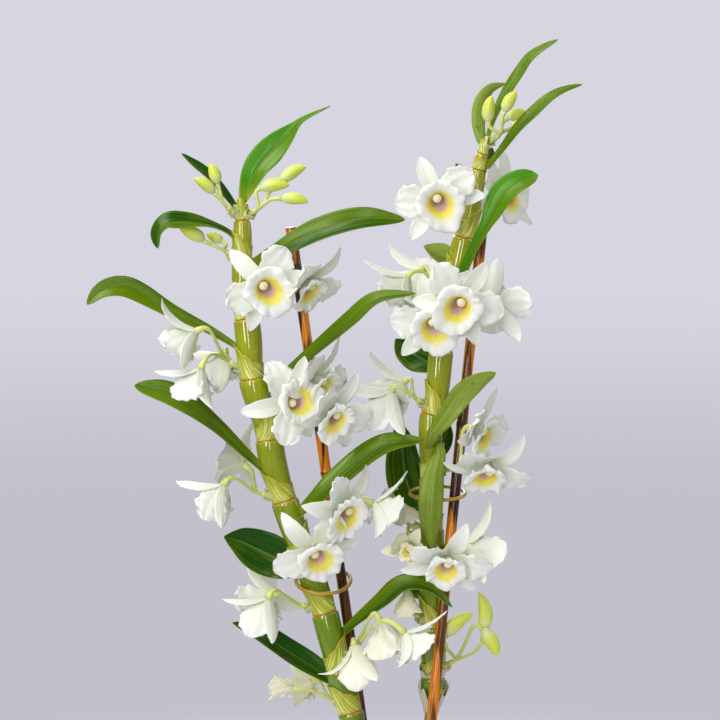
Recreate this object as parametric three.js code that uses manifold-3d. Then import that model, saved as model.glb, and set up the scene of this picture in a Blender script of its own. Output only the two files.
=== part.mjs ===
// A potted dendrobium orchid with two flowering canes tied to stakes.
// Millimetres, +Z up. The origin is the centre of the pot's foot.
// The front is seen along +Y, with +X to the right.
import * as THREE from "three";
import { mergeVertices } from "three/addons/utils/BufferGeometryUtils.js";
import Module from "manifold-3d";

const wasm = await Module();
wasm.setup();

// ---------------------------------------------------------------- driving dimensions
const GAP = 0.3; // clearance between neighbouring solids
const POT = {
  height: 105, topRadius: 60, footRadius: 45, wall: 4, floor: 5, rim: 9, rimDepth: 14, step: 2, edge: 1.5,
  sectors: 20,
};
const MEDIUM = { top: 95, relief: 3, rings: 3, edgeGap: 0.2, turns: [5.3, 3.1], drift: [1, -0.7] };
const STAKE = { radius: 3.7, sides: 8, foot: 48, knobRise: 0.35, knobHalf: 2.5 };
const RING = { radius: 19.3, wire: 1.35, wireSides: 6, steps: 14 };
const CANE = {
  sides: 8, waist: 0.79, groove: 0.92, widest: 0.93,
  sheathRise: 0.5, sheathTall: 20, sheathLow: 9, sheathShare: 0.7,
  rings: [0.02, 0.5, 0.93], fewRings: [0.02, 0.93], shortJoint: 18,
};
const LEAF = {
  thickness: 1, fold: 0.16,
  shapes: { // the share of the way along, and the share of the full width there
    strap: [[0, 0.42], [0.14, 0.74], [0.38, 1], [0.64, 0.93], [0.87, 0.54]],
    lance: [[0, 0.34], [0.2, 0.6], [0.45, 0.94], [0.7, 0.93], [0.89, 0.56]],
    spoon: [[0, 0.3], [0.25, 0.5], [0.5, 0.8], [0.75, 1], [0.92, 0.68]],
    drawn: [[0, 0.3], [0.12, 0.65], [0.36, 1], [0.6, 0.66], [0.78, 0.22]],
    paddle: [[0, 0.42], [0.32, 0.42], [0.52, 0.53], [0.78, 1], [0.93, 0.7]],
    oval: [[0, 0.42], [0.14, 0.74], [0.38, 1], [0.64, 0.94], [0.86, 0.54]],
    short: [[0, 0.42], [0.3, 0.9], [0.72, 0.86]],
  },
};
const STALK = { peduncle: 2.1, steps: [0, 0.45, 0.8, 1], radii: [1.9, 1.4, 1.3], leave: 0.4, arrive: 0.5 };
const HUB = { radius: 2.8, rise: 0.8, corners: [37.5, 98.5, 180, 261.5, 322.5] };
const TEPAL = {
  thickness: 0.8, turns: [75, 122, 238, 285, 360], petals: [0, 3], dorsal: 360,
  behind: 6, reflex: 0.45, closed: 40, curl: 0.2, cup: 1, wave: 0.8, waveTurns: 9,
};
const SEPAL = { length: 32, width: 13, stations: [0.32, 0.7], widths: [0.9, 0.88] };
const PETAL = { length: 30, width: 23, stations: [0.26, 0.6, 0.87], widths: [0.6, 1, 0.68] };
const FAR_PETAL = { length: 30, width: 23, stations: [0.34, 0.76], widths: [0.78, 0.92] };
const LIP = { lean: 15, waist: 5.6, mouth: 16, depth: 13, slant: 2.4, ruffle: 1, wall: 0.8, openAt: 84 };
const BUD = { length: 17, width: 8, sides: 5, egg: [[-0.5, 0.3], [-0.2, 0.97], [0.15, 0.84], [0.5, 0.12]] };

// Each cane: its centreline from the foot to the tip, its half-width at some heights, and its nodes as
// [height, side], where side is -1 for a leaf and spray on the left and +1 for the right.
const CANES = {
  cane_left: {
    path: [
      [-15, 0, 76], [-21, -3, 105], [-29, -4, 145], [-35, -3, 166], [-42, -2, 194], [-50, 0, 225],
      [-62, 0, 257], [-73, 0, 288], [-84, 0, 325], [-89, 0, 352], [-98, 0, 382], [-101, 0, 414],
      [-104, 0, 439], [-105, 0, 463], [-105, 0, 487], [-106, 0, 510],
    ],
    girth: [
      [76, 5], [115, 6.5], [150, 9.4], [215, 9.6], [300, 9.8], [370, 9.8], [414, 9.4], [460, 7.6], [488, 6.4],
      [510, 2.6],
    ],
    nodes: [
      [110, 1], [148, -1], [178, 1], [218, -1], [257, 1], [298, -1], [341, 1], [384, -1], [426, 1], [467, -1],
      [495, 1],
    ],
  },
  cane_right: {
    path: [
      [25, 0, 76], [25.5, 0, 110], [27.5, 0, 150], [28.5, 0, 172], [28, 0, 209], [27.5, 0, 267],
      [27, 0, 314], [27, 0, 355], [31, 0, 372], [33, 0, 397], [36.5, 0, 425], [44, 0, 456],
      [50, 0, 483], [57, 0, 516], [62, 0, 541], [66, 0, 553],
    ],
    girth: [
      [76, 4.6], [110, 5.5], [146, 4.6], [158, 7.6], [172, 8.9], [260, 8.9], [350, 8.6], [397, 8.8],
      [470, 8.6], [500, 7.2], [530, 5.2], [553, 2.2],
    ],
    nodes: [
      [110, -1], [146, 1], [172, 1], [208, -1], [243, 1], [278, -1], [314, 1], [359, -1], [404, 1], [446, -1],
      [483, 1], [512, -1], [530, 1], [541, -1],
    ],
  },
};

// Each stake is straight, from its foot in the bark to its top; knob is the height of its swollen node.
const STAKES = {
  stake_left: { low: [-22.4, 9.5, 145], high: [-71.4, -0.9, 490], knob: 317 },
  stake_right: { low: [27.3, -17, 145], high: [62.2, 7.4, 486], knob: 352 },
};
const RINGS = {
  ring_left: { at: [-48.9, 2.4, 240.8], tilt: 20 },
  ring_right: { at: [31.5, 0.7, 303], tilt: 7 },
};

// Each leaf: the cane that it grows from, its midline from the base to the tip, its full width, and the
// direction that its upper face looks at the base and at the tip.
const LEAVES = {
  leaf_l1_top: {
    cane: "cane_left", shape: "lance", width: 11, face: [[0.4, -0.5, 0.8], [0.4, -0.5, 0.8]],
    path: [[-107, 3, 499], [-125, 10, 522], [-148, 15, 541]],
  },
  leaf_l2_tall: {
    cane: "cane_left", shape: "drawn", width: 21, face: [[-0.4, -1, 0.2], [-0.2, -1, 0.4]],
    path: [[-104, 1, 508], [-95, 6, 531], [-84, 9, 544], [-73, 9, 555], [-64, 8, 564], [-44, 5, 574]],
  },
  leaf_l3: {
    cane: "cane_left", shape: "spoon", width: 17, face: [[0.2, -0.5, 0.9], [-0.8, -0.5, 0.2]],
    path: [
      [-108, 0, 481], [-117, -6, 488], [-130, -11, 493], [-146, -14, 495],
      [-157, -16, 494], [-163, -17, 487], [-163, -17, 476],
    ],
  },
  leaf_l4: {
    cane: "cane_left", shape: "lance", width: 19, face: [[-0.4, -0.85, 0.5], [0, -0.85, 0.5]],
    path: [[-101, 0, 462], [-80, -12, 474], [-51, -20, 489], [-22, -22, 497], [8, -20, 496]],
  },
  leaf_l5: {
    cane: "cane_left", shape: "spoon", width: 15, face: [[0.3, -0.6, 0.8], [-0.3, -0.95, 0.2]],
    path: [[-104, 2, 402], [-128, 6, 417], [-156, 8, 431], [-188, 6, 448], [-203, 4, 446], [-214, 2, 436]],
  },
  leaf_l6: {
    cane: "cane_left", shape: "lance", width: 15, face: [[-0.5, -0.65, 0.6], [-0.1, -0.65, 0.75]],
    path: [[-92, -2, 372], [-65, -15, 396], [-30, -26, 427], [-12, -30, 442], [15, -34, 446]],
  },
  leaf_l7: {
    cane: "cane_left", shape: "spoon", width: 18, face: [[0.5, -0.7, 0.6], [0.1, -0.8, 0.5]],
    path: [[-88, 0, 316], [-104, -2, 332], [-125, -2, 352], [-156, 0, 373], [-181, 2, 379]],
  },
  leaf_l8: {
    cane: "cane_left", shape: "lance", width: 19, face: [[-0.5, -0.75, 0.5], [-0.1, -0.75, 0.6]],
    path: [[-70, -2, 284], [-57, -12, 298], [-37, -18, 317], [-6, -20, 340], [21, -20, 343]],
  },
  leaf_l9: {
    cane: "cane_left", shape: "oval", width: 30, face: [[0, -1, 0.2], [-0.2, -1, 0.2]],
    path: [[-62, 4, 250], [-76, 10, 253], [-91, 12, 259], [-107, 11, 267], [-119, 8, 271]],
  },
  leaf_l10: {
    cane: "cane_left", shape: "lance", width: 14, face: [[-0.6, -0.6, 0.5], [0.5, -0.6, 0.6]],
    path: [[-43, 2, 194], [-33, -4, 206], [-9, -17, 229], [8, -24, 243], [26, -28, 241], [41, -28, 227]],
  },
  leaf_l11: {
    cane: "cane_left", shape: "strap", width: 18, face: [[0.3, -0.75, 0.5], [0.3, -0.75, 0.5]],
    path: [[-38, 0, 166], [-52, 0, 177], [-72, 0, 190], [-94, 0, 204], [-113, 0, 211]],
  },
  leaf_r1_tip: {
    cane: "cane_right", shape: "lance", width: 8.5, face: [[-0.5, -0.85, 0.2], [-0.5, -0.85, 0.3]],
    path: [
      [65, 3, 548], [71, 5, 568], [79, 4, 584], [88, 3, 598],
      [95, 1, 608], [103, 0, 614], [114, -2, 620],
    ],
  },
  leaf_r2: {
    cane: "cane_right", shape: "strap", width: 10, face: [[-0.3, 0.95, 0.2], [0.1, 0.95, 0.2]],
    path: [[63, 4, 546], [60, 12, 562], [62, 16, 577], [68, 18, 586], [79, 20, 590]],
  },
  leaf_r3: {
    cane: "cane_right", shape: "lance", width: 9.5, face: [[-0.5, -0.7, 0.4], [-0.3, -0.7, 0.6]],
    path: [
      [61, 0, 525], [76, -7, 545], [87, -10, 560], [98, -12, 571],
      [108, -14, 580], [117, -14, 585], [130, -14, 589],
    ],
  },
  leaf_r4: {
    cane: "cane_right", shape: "oval", width: 10, face: [[0, -1, 0.3], [0, -1, 0.3]],
    path: [[60, 2, 530], [66, 12, 537], [70, 18, 545]],
  },
  leaf_r5: {
    cane: "cane_right", shape: "oval", width: 9, face: [[0.3, -1, 0.3], [0.3, -1, 0.3]],
    path: [[57, 3, 518], [50, 10, 527], [44, 14, 534]],
  },
  leaf_r6: {
    cane: "cane_right", shape: "paddle", width: 20, face: [[-0.5, -0.9, 0.2], [-0.3, -0.8, 0.6]],
    path: [
      [44, -4, 448], [50, -14, 463], [58, -22, 481], [67, -27, 499],
      [75, -30, 514], [85, -31, 522], [99, -30, 527],
    ],
  },
  leaf_r7: {
    cane: "cane_right", shape: "oval", width: 15, face: [[0.2, 0.9, 0.3], [0.2, 0.9, 0.3]],
    path: [[47, 2, 466], [36, 14, 470], [22, 18, 476]],
  },
  leaf_r8: {
    cane: "cane_right", shape: "oval", width: 22, face: [[0.2, -1, 0.2], [0, -1, 0]],
    path: [[33, 3, 391], [22, 14, 396], [10, 20, 402], [2, 22, 410]],
  },
  leaf_r9: {
    cane: "cane_right", shape: "lance", width: 17, face: [[0.6, 0.8, -0.2], [0.4, 0.8, -0.3]],
    path: [[24, -5, 335], [27, -14, 346], [36, -20, 359], [48, -22, 376], [60, -22, 385], [71, -22, 390]],
  },
  leaf_r10: {
    cane: "cane_right", shape: "oval", width: 27, face: [[0, -1, 0.1], [-0.2, -1, 0.1]],
    path: [[26, 5, 287], [18, 28, 292], [11, 32, 305], [8, 31, 321], [7, 27, 338], [4, 22, 352]],
  },
  leaf_r11: {
    cane: "cane_right", shape: "lance", width: 17, face: [[0.2, 0.9, 0.3], [-0.2, 0.95, 0]],
    path: [[31, -4, 339], [32, -15, 333], [28, -22, 316], [26, -24, 292], [27, -22, 268]],
  },
  leaf_r12: {
    cane: "cane_right", shape: "oval", width: 17, face: [[0, -1, 0.2], [0, -1, 0.2]],
    path: [[27, 4, 228], [18, 14, 236], [11, 18, 246]],
  },
  leaf_r13: {
    cane: "cane_right", shape: "oval", width: 12, face: [[0, -1, 0.2], [0, -1, 0.2]],
    path: [[28, 4, 326], [36, 14, 337], [41, 18, 349]],
  },
  leaf_r14: {
    cane: "cane_right", shape: "oval", width: 18, face: [[0, -1, 0.2], [0, -1, 0.2]],
    path: [[26, 4, 256], [17, 16, 264], [5, 22, 270]],
  },
};

// Each spray: the cane and the height of its node, the point where its stalk forks, and its blooms and buds.
// A bloom has the point where its petals meet, the direction that it faces, the direction of its upper sepal
// as an angle in the front view (90 is up), and how far its petals open from its axis.
// A far bloom has a plainer mesh.
const SPRAYS = {
  spray_l1_buds_right: {
    cane: "cane_left", node: 496, fork: [-95, -6, 502],
    buds: [
      { at: [-82, -8, 518], along: [0.97, -0.2, 0.12], length: 21, width: 9.5 },
      { at: [-69, -4, 527], along: [0.86, 0, 0.5], length: 20, width: 9 },
      { at: [-68, -14, 509], along: [0.97, -0.2, -0.12], length: 19, width: 8.5 },
    ],
  },
  spray_l2_buds_left: {
    cane: "cane_left", node: 496, fork: [-115, -5, 504],
    buds: [
      { at: [-131, -8, 519], along: [-0.79, -0.2, 0.6], length: 18 },
      { at: [-125, -2, 527], along: [-0.35, 0, 0.9], length: 15, width: 8.5 },
    ],
  },
  spray_l3_buds: {
    cane: "cane_left", node: 467, fork: [-116, -4, 473],
    buds: [
      { at: [-140, -7, 485], along: [-0.87, -0.2, 0.45], length: 19, width: 9.5 },
      { at: [-125, 8, 482], along: [-0.8, 0.2, 0.35], length: 13, width: 7.5 },
    ],
  },
  spray_l4: {
    cane: "cane_left", node: 428, fork: [-90, -10, 436],
    blooms: [
      { at: [-90, -30, 451], faces: [0.1, -1, 0.05], dorsal: 135, open: 84 },
      { at: [-62, -16, 454], faces: [0.6, -0.5, -0.55], dorsal: 48, open: 64, far: true },
    ],
  },
  spray_l5: {
    cane: "cane_left", node: 386, fork: [-114, -4, 396],
    blooms: [
      { at: [-137, -18, 418], faces: [-0.8, 0.18, -0.57], dorsal: 150, open: 50, far: true },
      { at: [-133, -28, 393], faces: [-0.35, 0.2, -0.92], dorsal: 165, open: 46, far: true },
      { at: [-118, 14, 400], faces: [-0.2, 0.35, -0.9], dorsal: 110, open: 46, far: true },
    ],
  },
  spray_l6: {
    cane: "cane_left", node: 343, fork: [-74, -10, 352],
    blooms: [
      { at: [-73, -36, 371], faces: [0.42, -0.9, 0.03], dorsal: 188, open: 84 },
      { at: [-55, -23, 387], faces: [0.8, -0.45, -0.35], dorsal: 55, open: 76, far: true },
      { at: [-43, -41, 366], faces: [0.5, -0.75, -0.4], dorsal: 60, open: 68, far: true },
    ],
  },
  spray_l7: {
    cane: "cane_left", node: 300, fork: [-92, -4, 303],
    blooms: [
      { at: [-118, -18, 311], faces: [-0.45, 0.15, -0.88], dorsal: 165, open: 48, far: true },
      { at: [-105, 14, 321], faces: [-0.8, 0.45, 0.25], dorsal: 80, open: 76, far: true },
    ],
  },
  spray_l8: {
    cane: "cane_left", node: 259, fork: [-48, -10, 268],
    blooms: [
      { at: [-36, -40, 299], faces: [0.68, -0.68, -0.29], dorsal: 40, open: 82 },
      { at: [-14, -33, 300], faces: [0.85, 0.12, -0.5], dorsal: 56, open: 58, far: true },
      { at: [-56, -38, 270], faces: [0.25, -0.85, -0.45], dorsal: 130, open: 82 },
    ],
  },
  spray_l9: {
    cane: "cane_left", node: 220, fork: [-64, -4, 224],
    blooms: [
      { at: [-87, -22, 232], faces: [-0.35, 0.18, -0.92], dorsal: 162, open: 46, far: true },
      { at: [-84, 17, 228], faces: [-0.6, 0.6, -0.4], dorsal: 110, open: 60, far: true },
    ],
  },
  spray_l10: {
    cane: "cane_left", node: 180, fork: [-30, -12, 190],
    blooms: [
      { at: [-27, -28, 200], faces: [0.15, -0.05, -1], dorsal: 150, open: 38, far: true },
      { at: [-9, -31, 217], faces: [0.3, 0.1, -0.95], dorsal: 200, open: 38, far: true },
      { at: [8, -52, 213], faces: [0.65, 0.1, -0.72], dorsal: 38, open: 60, far: true },
    ],
  },
  spray_l11: {
    cane: "cane_left", node: 150, fork: [-42, -4, 156],
    blooms: [
      { at: [-70, -10, 166], faces: [-0.95, 0.1, 0], dorsal: 90, open: 26, size: 0.62, far: true },
      { at: [-57, 12, 166], faces: [-0.6, 0.5, -0.5], dorsal: 90, open: 46, size: 0.7, far: true },
    ],
  },
  spray_r1_buds: {
    cane: "cane_right", node: 546, fork: [73, -8, 554],
    buds: [
      { at: [67, -10, 572], along: [0.12, -0.1, 1], length: 19, width: 9 },
      { at: [81, -12, 577], along: [0.5, -0.1, 0.85], width: 8.5 },
      { at: [86, 4, 568], along: [0.9, 0.1, 0.4], length: 13 },
      { at: [87, -1, 560], along: [0.95, 0.1, 0.3], length: 12 },
    ],
  },
  spray_r2: {
    cane: "cane_right", node: 490, fork: [39, -9, 496],
    blooms: [
      { at: [30, -27, 511], faces: [-0.03, -1, 0.02], dorsal: 118, open: 84 },
    ],
  },
  spray_r3: {
    cane: "cane_right", node: 500, fork: [66, 5, 506],
    blooms: [
      { at: [75, 20, 512], faces: [0.7, -0.65, 0.15], dorsal: 75, open: 76, far: true },
    ],
  },
  spray_r4: {
    cane: "cane_right", node: 448, fork: [30, 8, 453],
    blooms: [
      { at: [10, 4, 455], faces: [-0.6, 0.2, -0.75], dorsal: 160, open: 54, far: true },
      { at: [21, 22, 459], faces: [-0.3, 0.6, -0.7], dorsal: 120, open: 60, far: true },
    ],
  },
  spray_r5: {
    cane: "cane_right", node: 436, fork: [46, -14, 438],
    blooms: [
      { at: [45, -48, 442], faces: [0.1, -0.98, -0.1], dorsal: 55, open: 84 },
      { at: [27, -37, 429], faces: [-0.05, -0.95, -0.25], dorsal: 105, open: 84 },
      { at: [66, -24, 439], faces: [0.15, 0.98, 0.1], dorsal: 75, open: 84, far: true },
    ],
  },
  spray_r6: {
    cane: "cane_right", node: 362, fork: [17, -7, 370],
    blooms: [
      { at: [-1, -10, 376], faces: [-0.3, 0.5, -0.8], dorsal: 160, open: 50, far: true },
      { at: [8, 15, 380], faces: [-0.6, 0.35, -0.5], dorsal: 120, open: 58, far: true },
    ],
  },
  spray_r7: {
    cane: "cane_right", node: 317, fork: [43, -15, 323],
    blooms: [
      { at: [56, -26, 352], faces: [0.85, -0.5, -0.3], dorsal: 52, open: 74, far: true },
      { at: [66, -24, 327], faces: [0.05, -0.68, -0.72], dorsal: 60, open: 70, far: true },
    ],
  },
  spray_r8: {
    cane: "cane_right", node: 276, fork: [14, 4, 279],
    blooms: [
      { at: [0, 4, 298], faces: [0.25, 0.05, -0.97], dorsal: 100, open: 40, size: 0.8, far: true },
      { at: [13, -13, 267], faces: [-0.25, -0.95, -0.12], dorsal: 60, open: 38, size: 0.75, far: true },
    ],
  },
  spray_r9: {
    cane: "cane_right", node: 245, fork: [27, -14, 250],
    blooms: [
      { at: [38, -38, 264], faces: [-0.05, -0.8, -0.55], dorsal: 72, open: 70 },
      { at: [51, -21, 270], faces: [0.8, 0.45, -0.4], dorsal: 63, open: 62, far: true },
    ],
  },
  spray_r10: {
    cane: "cane_right", node: 210, fork: [16, -7, 218],
    blooms: [
      { at: [10, -10, 235], faces: [0.05, 0, -1], dorsal: 120, open: 28, size: 0.7, far: true },
    ],
  },
  spray_r11_buds: {
    cane: "cane_right", node: 176, fork: [42, -5, 184],
    buds: [
      { at: [47, -10, 211], along: [0.75, -0.1, 0.66], length: 25, width: 10 },
      { at: [62, -4, 219], along: [-0.1, 0, 1], length: 29, width: 10 },
      { at: [68, -8, 198], along: [0.48, -0.1, -0.87], length: 22, width: 10.5 },
    ],
  },
};

// ---------------------------------------------------------------- solids and surfaces
const vec = (p) => new THREE.Vector3(...p);

/** A closed solid from shared points and triangles. */
function solidOf(points, faces) {
  const vertProperties = new Float32Array(points.flatMap((p) => [p.x, p.y, p.z]));
  const triVerts = new Uint32Array(faces.flat());
  return new wasm.Manifold(new wasm.Mesh({ numProp: 3, vertProperties, triVerts }));
}

/** A point moved by an angle and a radius across a line, between two directions square to it. */
function around(point, side, other, radius, angle) {
  const moved = point.clone().addScaledVector(side, radius * Math.cos(angle));
  return moved.addScaledVector(other, radius * Math.sin(angle));
}

/** A closed solid from a three.js geometry, with its doubled points merged. */
function solidFrom(geometry) {
  geometry.deleteAttribute("normal");
  geometry.deleteAttribute("uv");
  const merged = mergeVertices(geometry, 1e-4);
  const vertProperties = new Float32Array(merged.attributes.position.array);
  const triVerts = new Uint32Array(merged.index.array);
  return new wasm.Manifold(new wasm.Mesh({ numProp: 3, vertProperties, triVerts }));
}

/** The one body that remains when loose scraps are dropped. */
function mainBody(solid) {
  const bodies = solid.decompose();
  return bodies.reduce((a, b) => (b.volume() > a.volume() ? b : a));
}

const join = (solids) => solids.reduce((a, b) => a.add(b));

/** A wall of even thickness on both sides of a thin surface, with both faces split alike. */
function thicken(points, faces, thickness) {
  const normals = points.map(() => new THREE.Vector3());
  for (const [a, b, c] of faces) {
    const normal = points[b].clone().sub(points[a]).cross(points[c].clone().sub(points[a]));
    for (const i of [a, b, c]) normals[i].add(normal);
  }
  const half = thickness / 2;
  const count = points.length;
  const upper = points.map((p, i) => p.clone().addScaledVector(normals[i].normalize(), half));
  const lower = points.map((p, i) => p.clone().addScaledVector(normals[i], -half));
  const edges = new Set(faces.flatMap(([a, b, c]) => [`${a},${b}`, `${b},${c}`, `${c},${a}`]));
  const wall = [];
  for (const edge of edges) {
    const [a, b] = edge.split(",").map(Number);
    if (!edges.has(`${b},${a}`)) wall.push([b, a, a + count], [b, a + count, b + count]);
  }
  const both = faces.flatMap(([a, b, c]) => [[a, b, c], [c + count, b + count, a + count]]);
  return solidOf([...upper, ...lower], [...both, ...wall]);
}

/** Triangles between rows of points; a row of one point closes to a tip. */
function weave(rows) {
  const faces = [];
  let start = 0;
  for (let r = 0; r + 1 < rows.length; r++) {
    const here = rows[r].length;
    const next = rows[r + 1].length;
    const after = start + here;
    for (let i = 0; i + 1 < Math.max(here, next); i++) {
      if (here === 1) faces.push([start, after + i + 1, after + i]);
      else if (next === 1) faces.push([start + i, start + i + 1, after]);
      else faces.push([start + i, start + i + 1, after + i + 1], [start + i, after + i + 1, after + i]);
    }
    start = after;
  }
  return faces;
}

/** A closed tube through points, with its radius at each one. */
function tube(points, radii, sides) {
  const rings = [];
  let side = null;
  points.forEach((point, i) => {
    const ahead = points[Math.min(i + 1, points.length - 1)];
    const behind = points[Math.max(i - 1, 0)];
    const tangent = ahead.clone().sub(behind).normalize();
    side ??= Math.abs(tangent.z) < 0.9 ? new THREE.Vector3(0, 0, 1) : new THREE.Vector3(1, 0, 0);
    side = side.clone().addScaledVector(tangent, -side.dot(tangent)).normalize();
    const other = tangent.clone().cross(side);
    for (let k = 0; k < sides; k++) {
      rings.push(around(point, side, other, radii[i], (2 * Math.PI * k) / sides));
    }
  });
  return solidOf(rings, tubeFaces(points.length, sides));
}

/** The triangles of a tube of rings of points, with both ends closed flat. */
function tubeFaces(rings, sides) {
  const faces = [];
  for (let i = 0; i + 1 < rings; i++) {
    for (let k = 0; k < sides; k++) {
      const a = i * sides + k;
      const b = i * sides + ((k + 1) % sides);
      faces.push([a, b, b + sides], [a, b + sides, a + sides]);
    }
  }
  const last = (rings - 1) * sides;
  for (let k = 1; k + 1 < sides; k++) faces.push([0, k + 1, k], [last, last + k, last + k + 1]);
  return faces;
}

/** A smooth curve through rows of [key, value], read at a key. */
function along(rows, key) {
  const last = rows.length - 1;
  let i = 0;
  while (i < last - 1 && key > rows[i + 1][0]) i++;
  const slope = (k) => {
    const a = rows[Math.max(k - 1, 0)];
    const b = rows[Math.min(k + 1, last)];
    return (b[1] - a[1]) / (b[0] - a[0]);
  };
  const [from, to] = [rows[i], rows[i + 1]];
  const span = to[0] - from[0];
  const t = Math.min(Math.max((key - from[0]) / span, 0), 1);
  const rise = (2 * t - 3) * t * t;
  const leaving = ((t - 2) * t + 1) * t * slope(i);
  const arriving = (t - 1) * t * t * slope(i + 1);
  return (rise + 1) * from[1] - rise * to[1] + span * (leaving + arriving);
}

// ---------------------------------------------------------------- canes, stakes and rings
const caneX = (cane, z) => along(cane.path.map(([x, , h]) => [h, x]), z);
const caneY = (cane, z) => along(cane.path.map(([, y, h]) => [h, y]), z);
const caneAt = (cane, z) => new THREE.Vector3(caneX(cane, z), caneY(cane, z), z);

/** The cane's radius: each joint swells from a waist up to its node line, and a sheath wraps its foot. */
function caneRadius(cane, z, angle) {
  const nodes = cane.nodes;
  let radius = along(cane.girth, z);
  const above = nodes.findIndex(([height]) => height > z);
  const lower = above > 0 ? nodes[above - 1] : above < 0 ? nodes[nodes.length - 1] : null;
  const from = lower ? lower[0] : cane.path[0][2];
  const to = above >= 0 ? nodes[above][0] : cane.path.at(-1)[2];
  const t = (z - from) / (to - from);
  const { waist, groove, widest } = CANE;
  if (t > widest) radius *= 1 - ((1 - groove) * (t - widest)) / (1 - widest);
  else radius *= waist + (1 - waist) * Math.sin((Math.PI / 2) * (t / widest));
  if (lower) {
    const towardsLeaf = (1 + lower[1] * Math.cos(angle)) / 2;
    const tall = CANE.sheathLow + (CANE.sheathTall - CANE.sheathLow) * towardsLeaf;
    if (z - from < Math.min(tall, CANE.sheathShare * (to - from))) radius += CANE.sheathRise;
  }
  return radius;
}

/** The jointed cane, as a tube of sections square to its centreline; extra fattens it all round. */
function caneSolid(cane, extra = 0) {
  const foot = cane.path[0][2];
  const tip = cane.path.at(-1)[2];
  const heights = [foot - extra];
  const lines = [foot, ...cane.nodes.map(([height]) => height), tip];
  for (let i = 0; i + 1 < lines.length; i++) {
    const span = lines[i + 1] - lines[i];
    const shares = span > CANE.shortJoint ? CANE.rings : CANE.fewRings;
    heights.push(...shares.map((share) => lines[i] + share * span));
  }
  heights.push(tip + extra);
  const points = [];
  for (const z of heights) {
    const middle = caneAt(cane, z);
    const tangent = caneAt(cane, z + 1).sub(caneAt(cane, z - 1)).normalize();
    const side = new THREE.Vector3(1, 0, 0).addScaledVector(tangent, -tangent.x).normalize();
    const other = tangent.clone().cross(side);
    for (let k = 0; k < CANE.sides; k++) {
      const angle = (2 * Math.PI * k) / CANE.sides;
      const radius = caneRadius(cane, THREE.MathUtils.clamp(z, foot, tip), angle) + extra;
      points.push(around(middle, side, other, radius, angle));
    }
  }
  return solidOf(points, tubeFaces(heights.length, CANE.sides));
}

/** A straight stake through two points, with a low knob where the bamboo has its node. */
function stakeSolid({ low, high, knob }, extra = 0) {
  const line = vec(high).sub(vec(low));
  const at = (z) => vec(low).addScaledVector(line, (z - low[2]) / line.z);
  const heights = [STAKE.foot - extra, knob - STAKE.knobHalf, knob, knob + STAKE.knobHalf, high[2] + extra];
  const rise = [0, 0, STAKE.knobRise, 0, 0];
  return tube(heights.map(at), rise.map((r) => STAKE.radius + r + extra), STAKE.sides);
}

/** A plain round ring, tilted so that its front hangs lower. */
function ringSolid({ at, tilt }) {
  const geometry = new THREE.TorusGeometry(RING.radius, RING.wire, RING.wireSides, RING.steps);
  geometry.rotateX(THREE.MathUtils.degToRad(tilt));
  geometry.translate(...at);
  return solidFrom(geometry);
}

// ---------------------------------------------------------------- pot and bark
/** A plain tapered pot with a thick rim and a flat foot. */
function potSolid() {
  const { height, topRadius, footRadius, wall, floor, rim, rimDepth, step, edge, sectors } = POT;
  const body = topRadius - rim / 3;
  const profile = [
    [0, 0], [footRadius, 0], [body, height - rimDepth], [topRadius, height - rimDepth + step],
    [topRadius, height - edge], [topRadius - edge, height], [body - wall + 1, height],
    [body - wall, height - edge], [footRadius - wall, floor], [0, floor],
  ];
  const geometry = new THREE.LatheGeometry(profile.map(([r, z]) => new THREE.Vector2(r, z)), sectors);
  return solidFrom(geometry.rotateX(Math.PI / 2));
}

/** The radius of the pot's inside at a height. */
function potInside(z) {
  const { height, topRadius, footRadius, wall, floor, rim, edge } = POT;
  const top = topRadius - rim / 3 - wall;
  return footRadius - wall + ((top - (footRadius - wall)) * (z - floor)) / (height - edge - floor);
}

/** Bark chips, as one body with a lumpy top, and plain holes where canes and stakes stand. */
function mediumSolid(holes) {
  const { top, relief, rings, edgeGap, turns, drift } = MEDIUM;
  const { sectors } = POT;
  const bottom = POT.floor + GAP;
  const points = [new THREE.Vector3(0, 0, bottom)];
  const ring = (radius, z, lumps) => {
    for (let k = 0; k < sectors; k++) {
      const angle = (2 * Math.PI * k) / sectors;
      const [first, second] = [0, 1].map((i) => turns[i] * angle + drift[i] * radius);
      const height = z + (lumps ? relief * Math.sin(first) * Math.cos(second) : 0);
      points.push(new THREE.Vector3(radius * Math.cos(angle), radius * Math.sin(angle), height));
    }
  };
  ring(potInside(bottom) - GAP, bottom, false);
  const edge = potInside(top - relief) - GAP - edgeGap;
  for (let i = 0; i < rings; i++) ring(edge * (1 - i / rings), top - (i === 0 ? relief : 0), i > 0);
  points.push(new THREE.Vector3(0, 0, top));
  const faces = [];
  for (let k = 0; k < sectors; k++) {
    const next = (k + 1) % sectors;
    faces.push([0, 1 + next, 1 + k]);
    for (let i = 0; i < rings; i++) {
      const a = 1 + i * sectors;
      const b = a + sectors;
      faces.push([a + k, a + next, b + next], [a + k, b + next, b + k]);
    }
    const inner = 1 + rings * sectors;
    faces.push([inner + k, inner + next, points.length - 1]);
  }
  return mainBody(holes.reduce((solid, hole) => solid.subtract(hole), solidOf(points, faces)));
}

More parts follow.
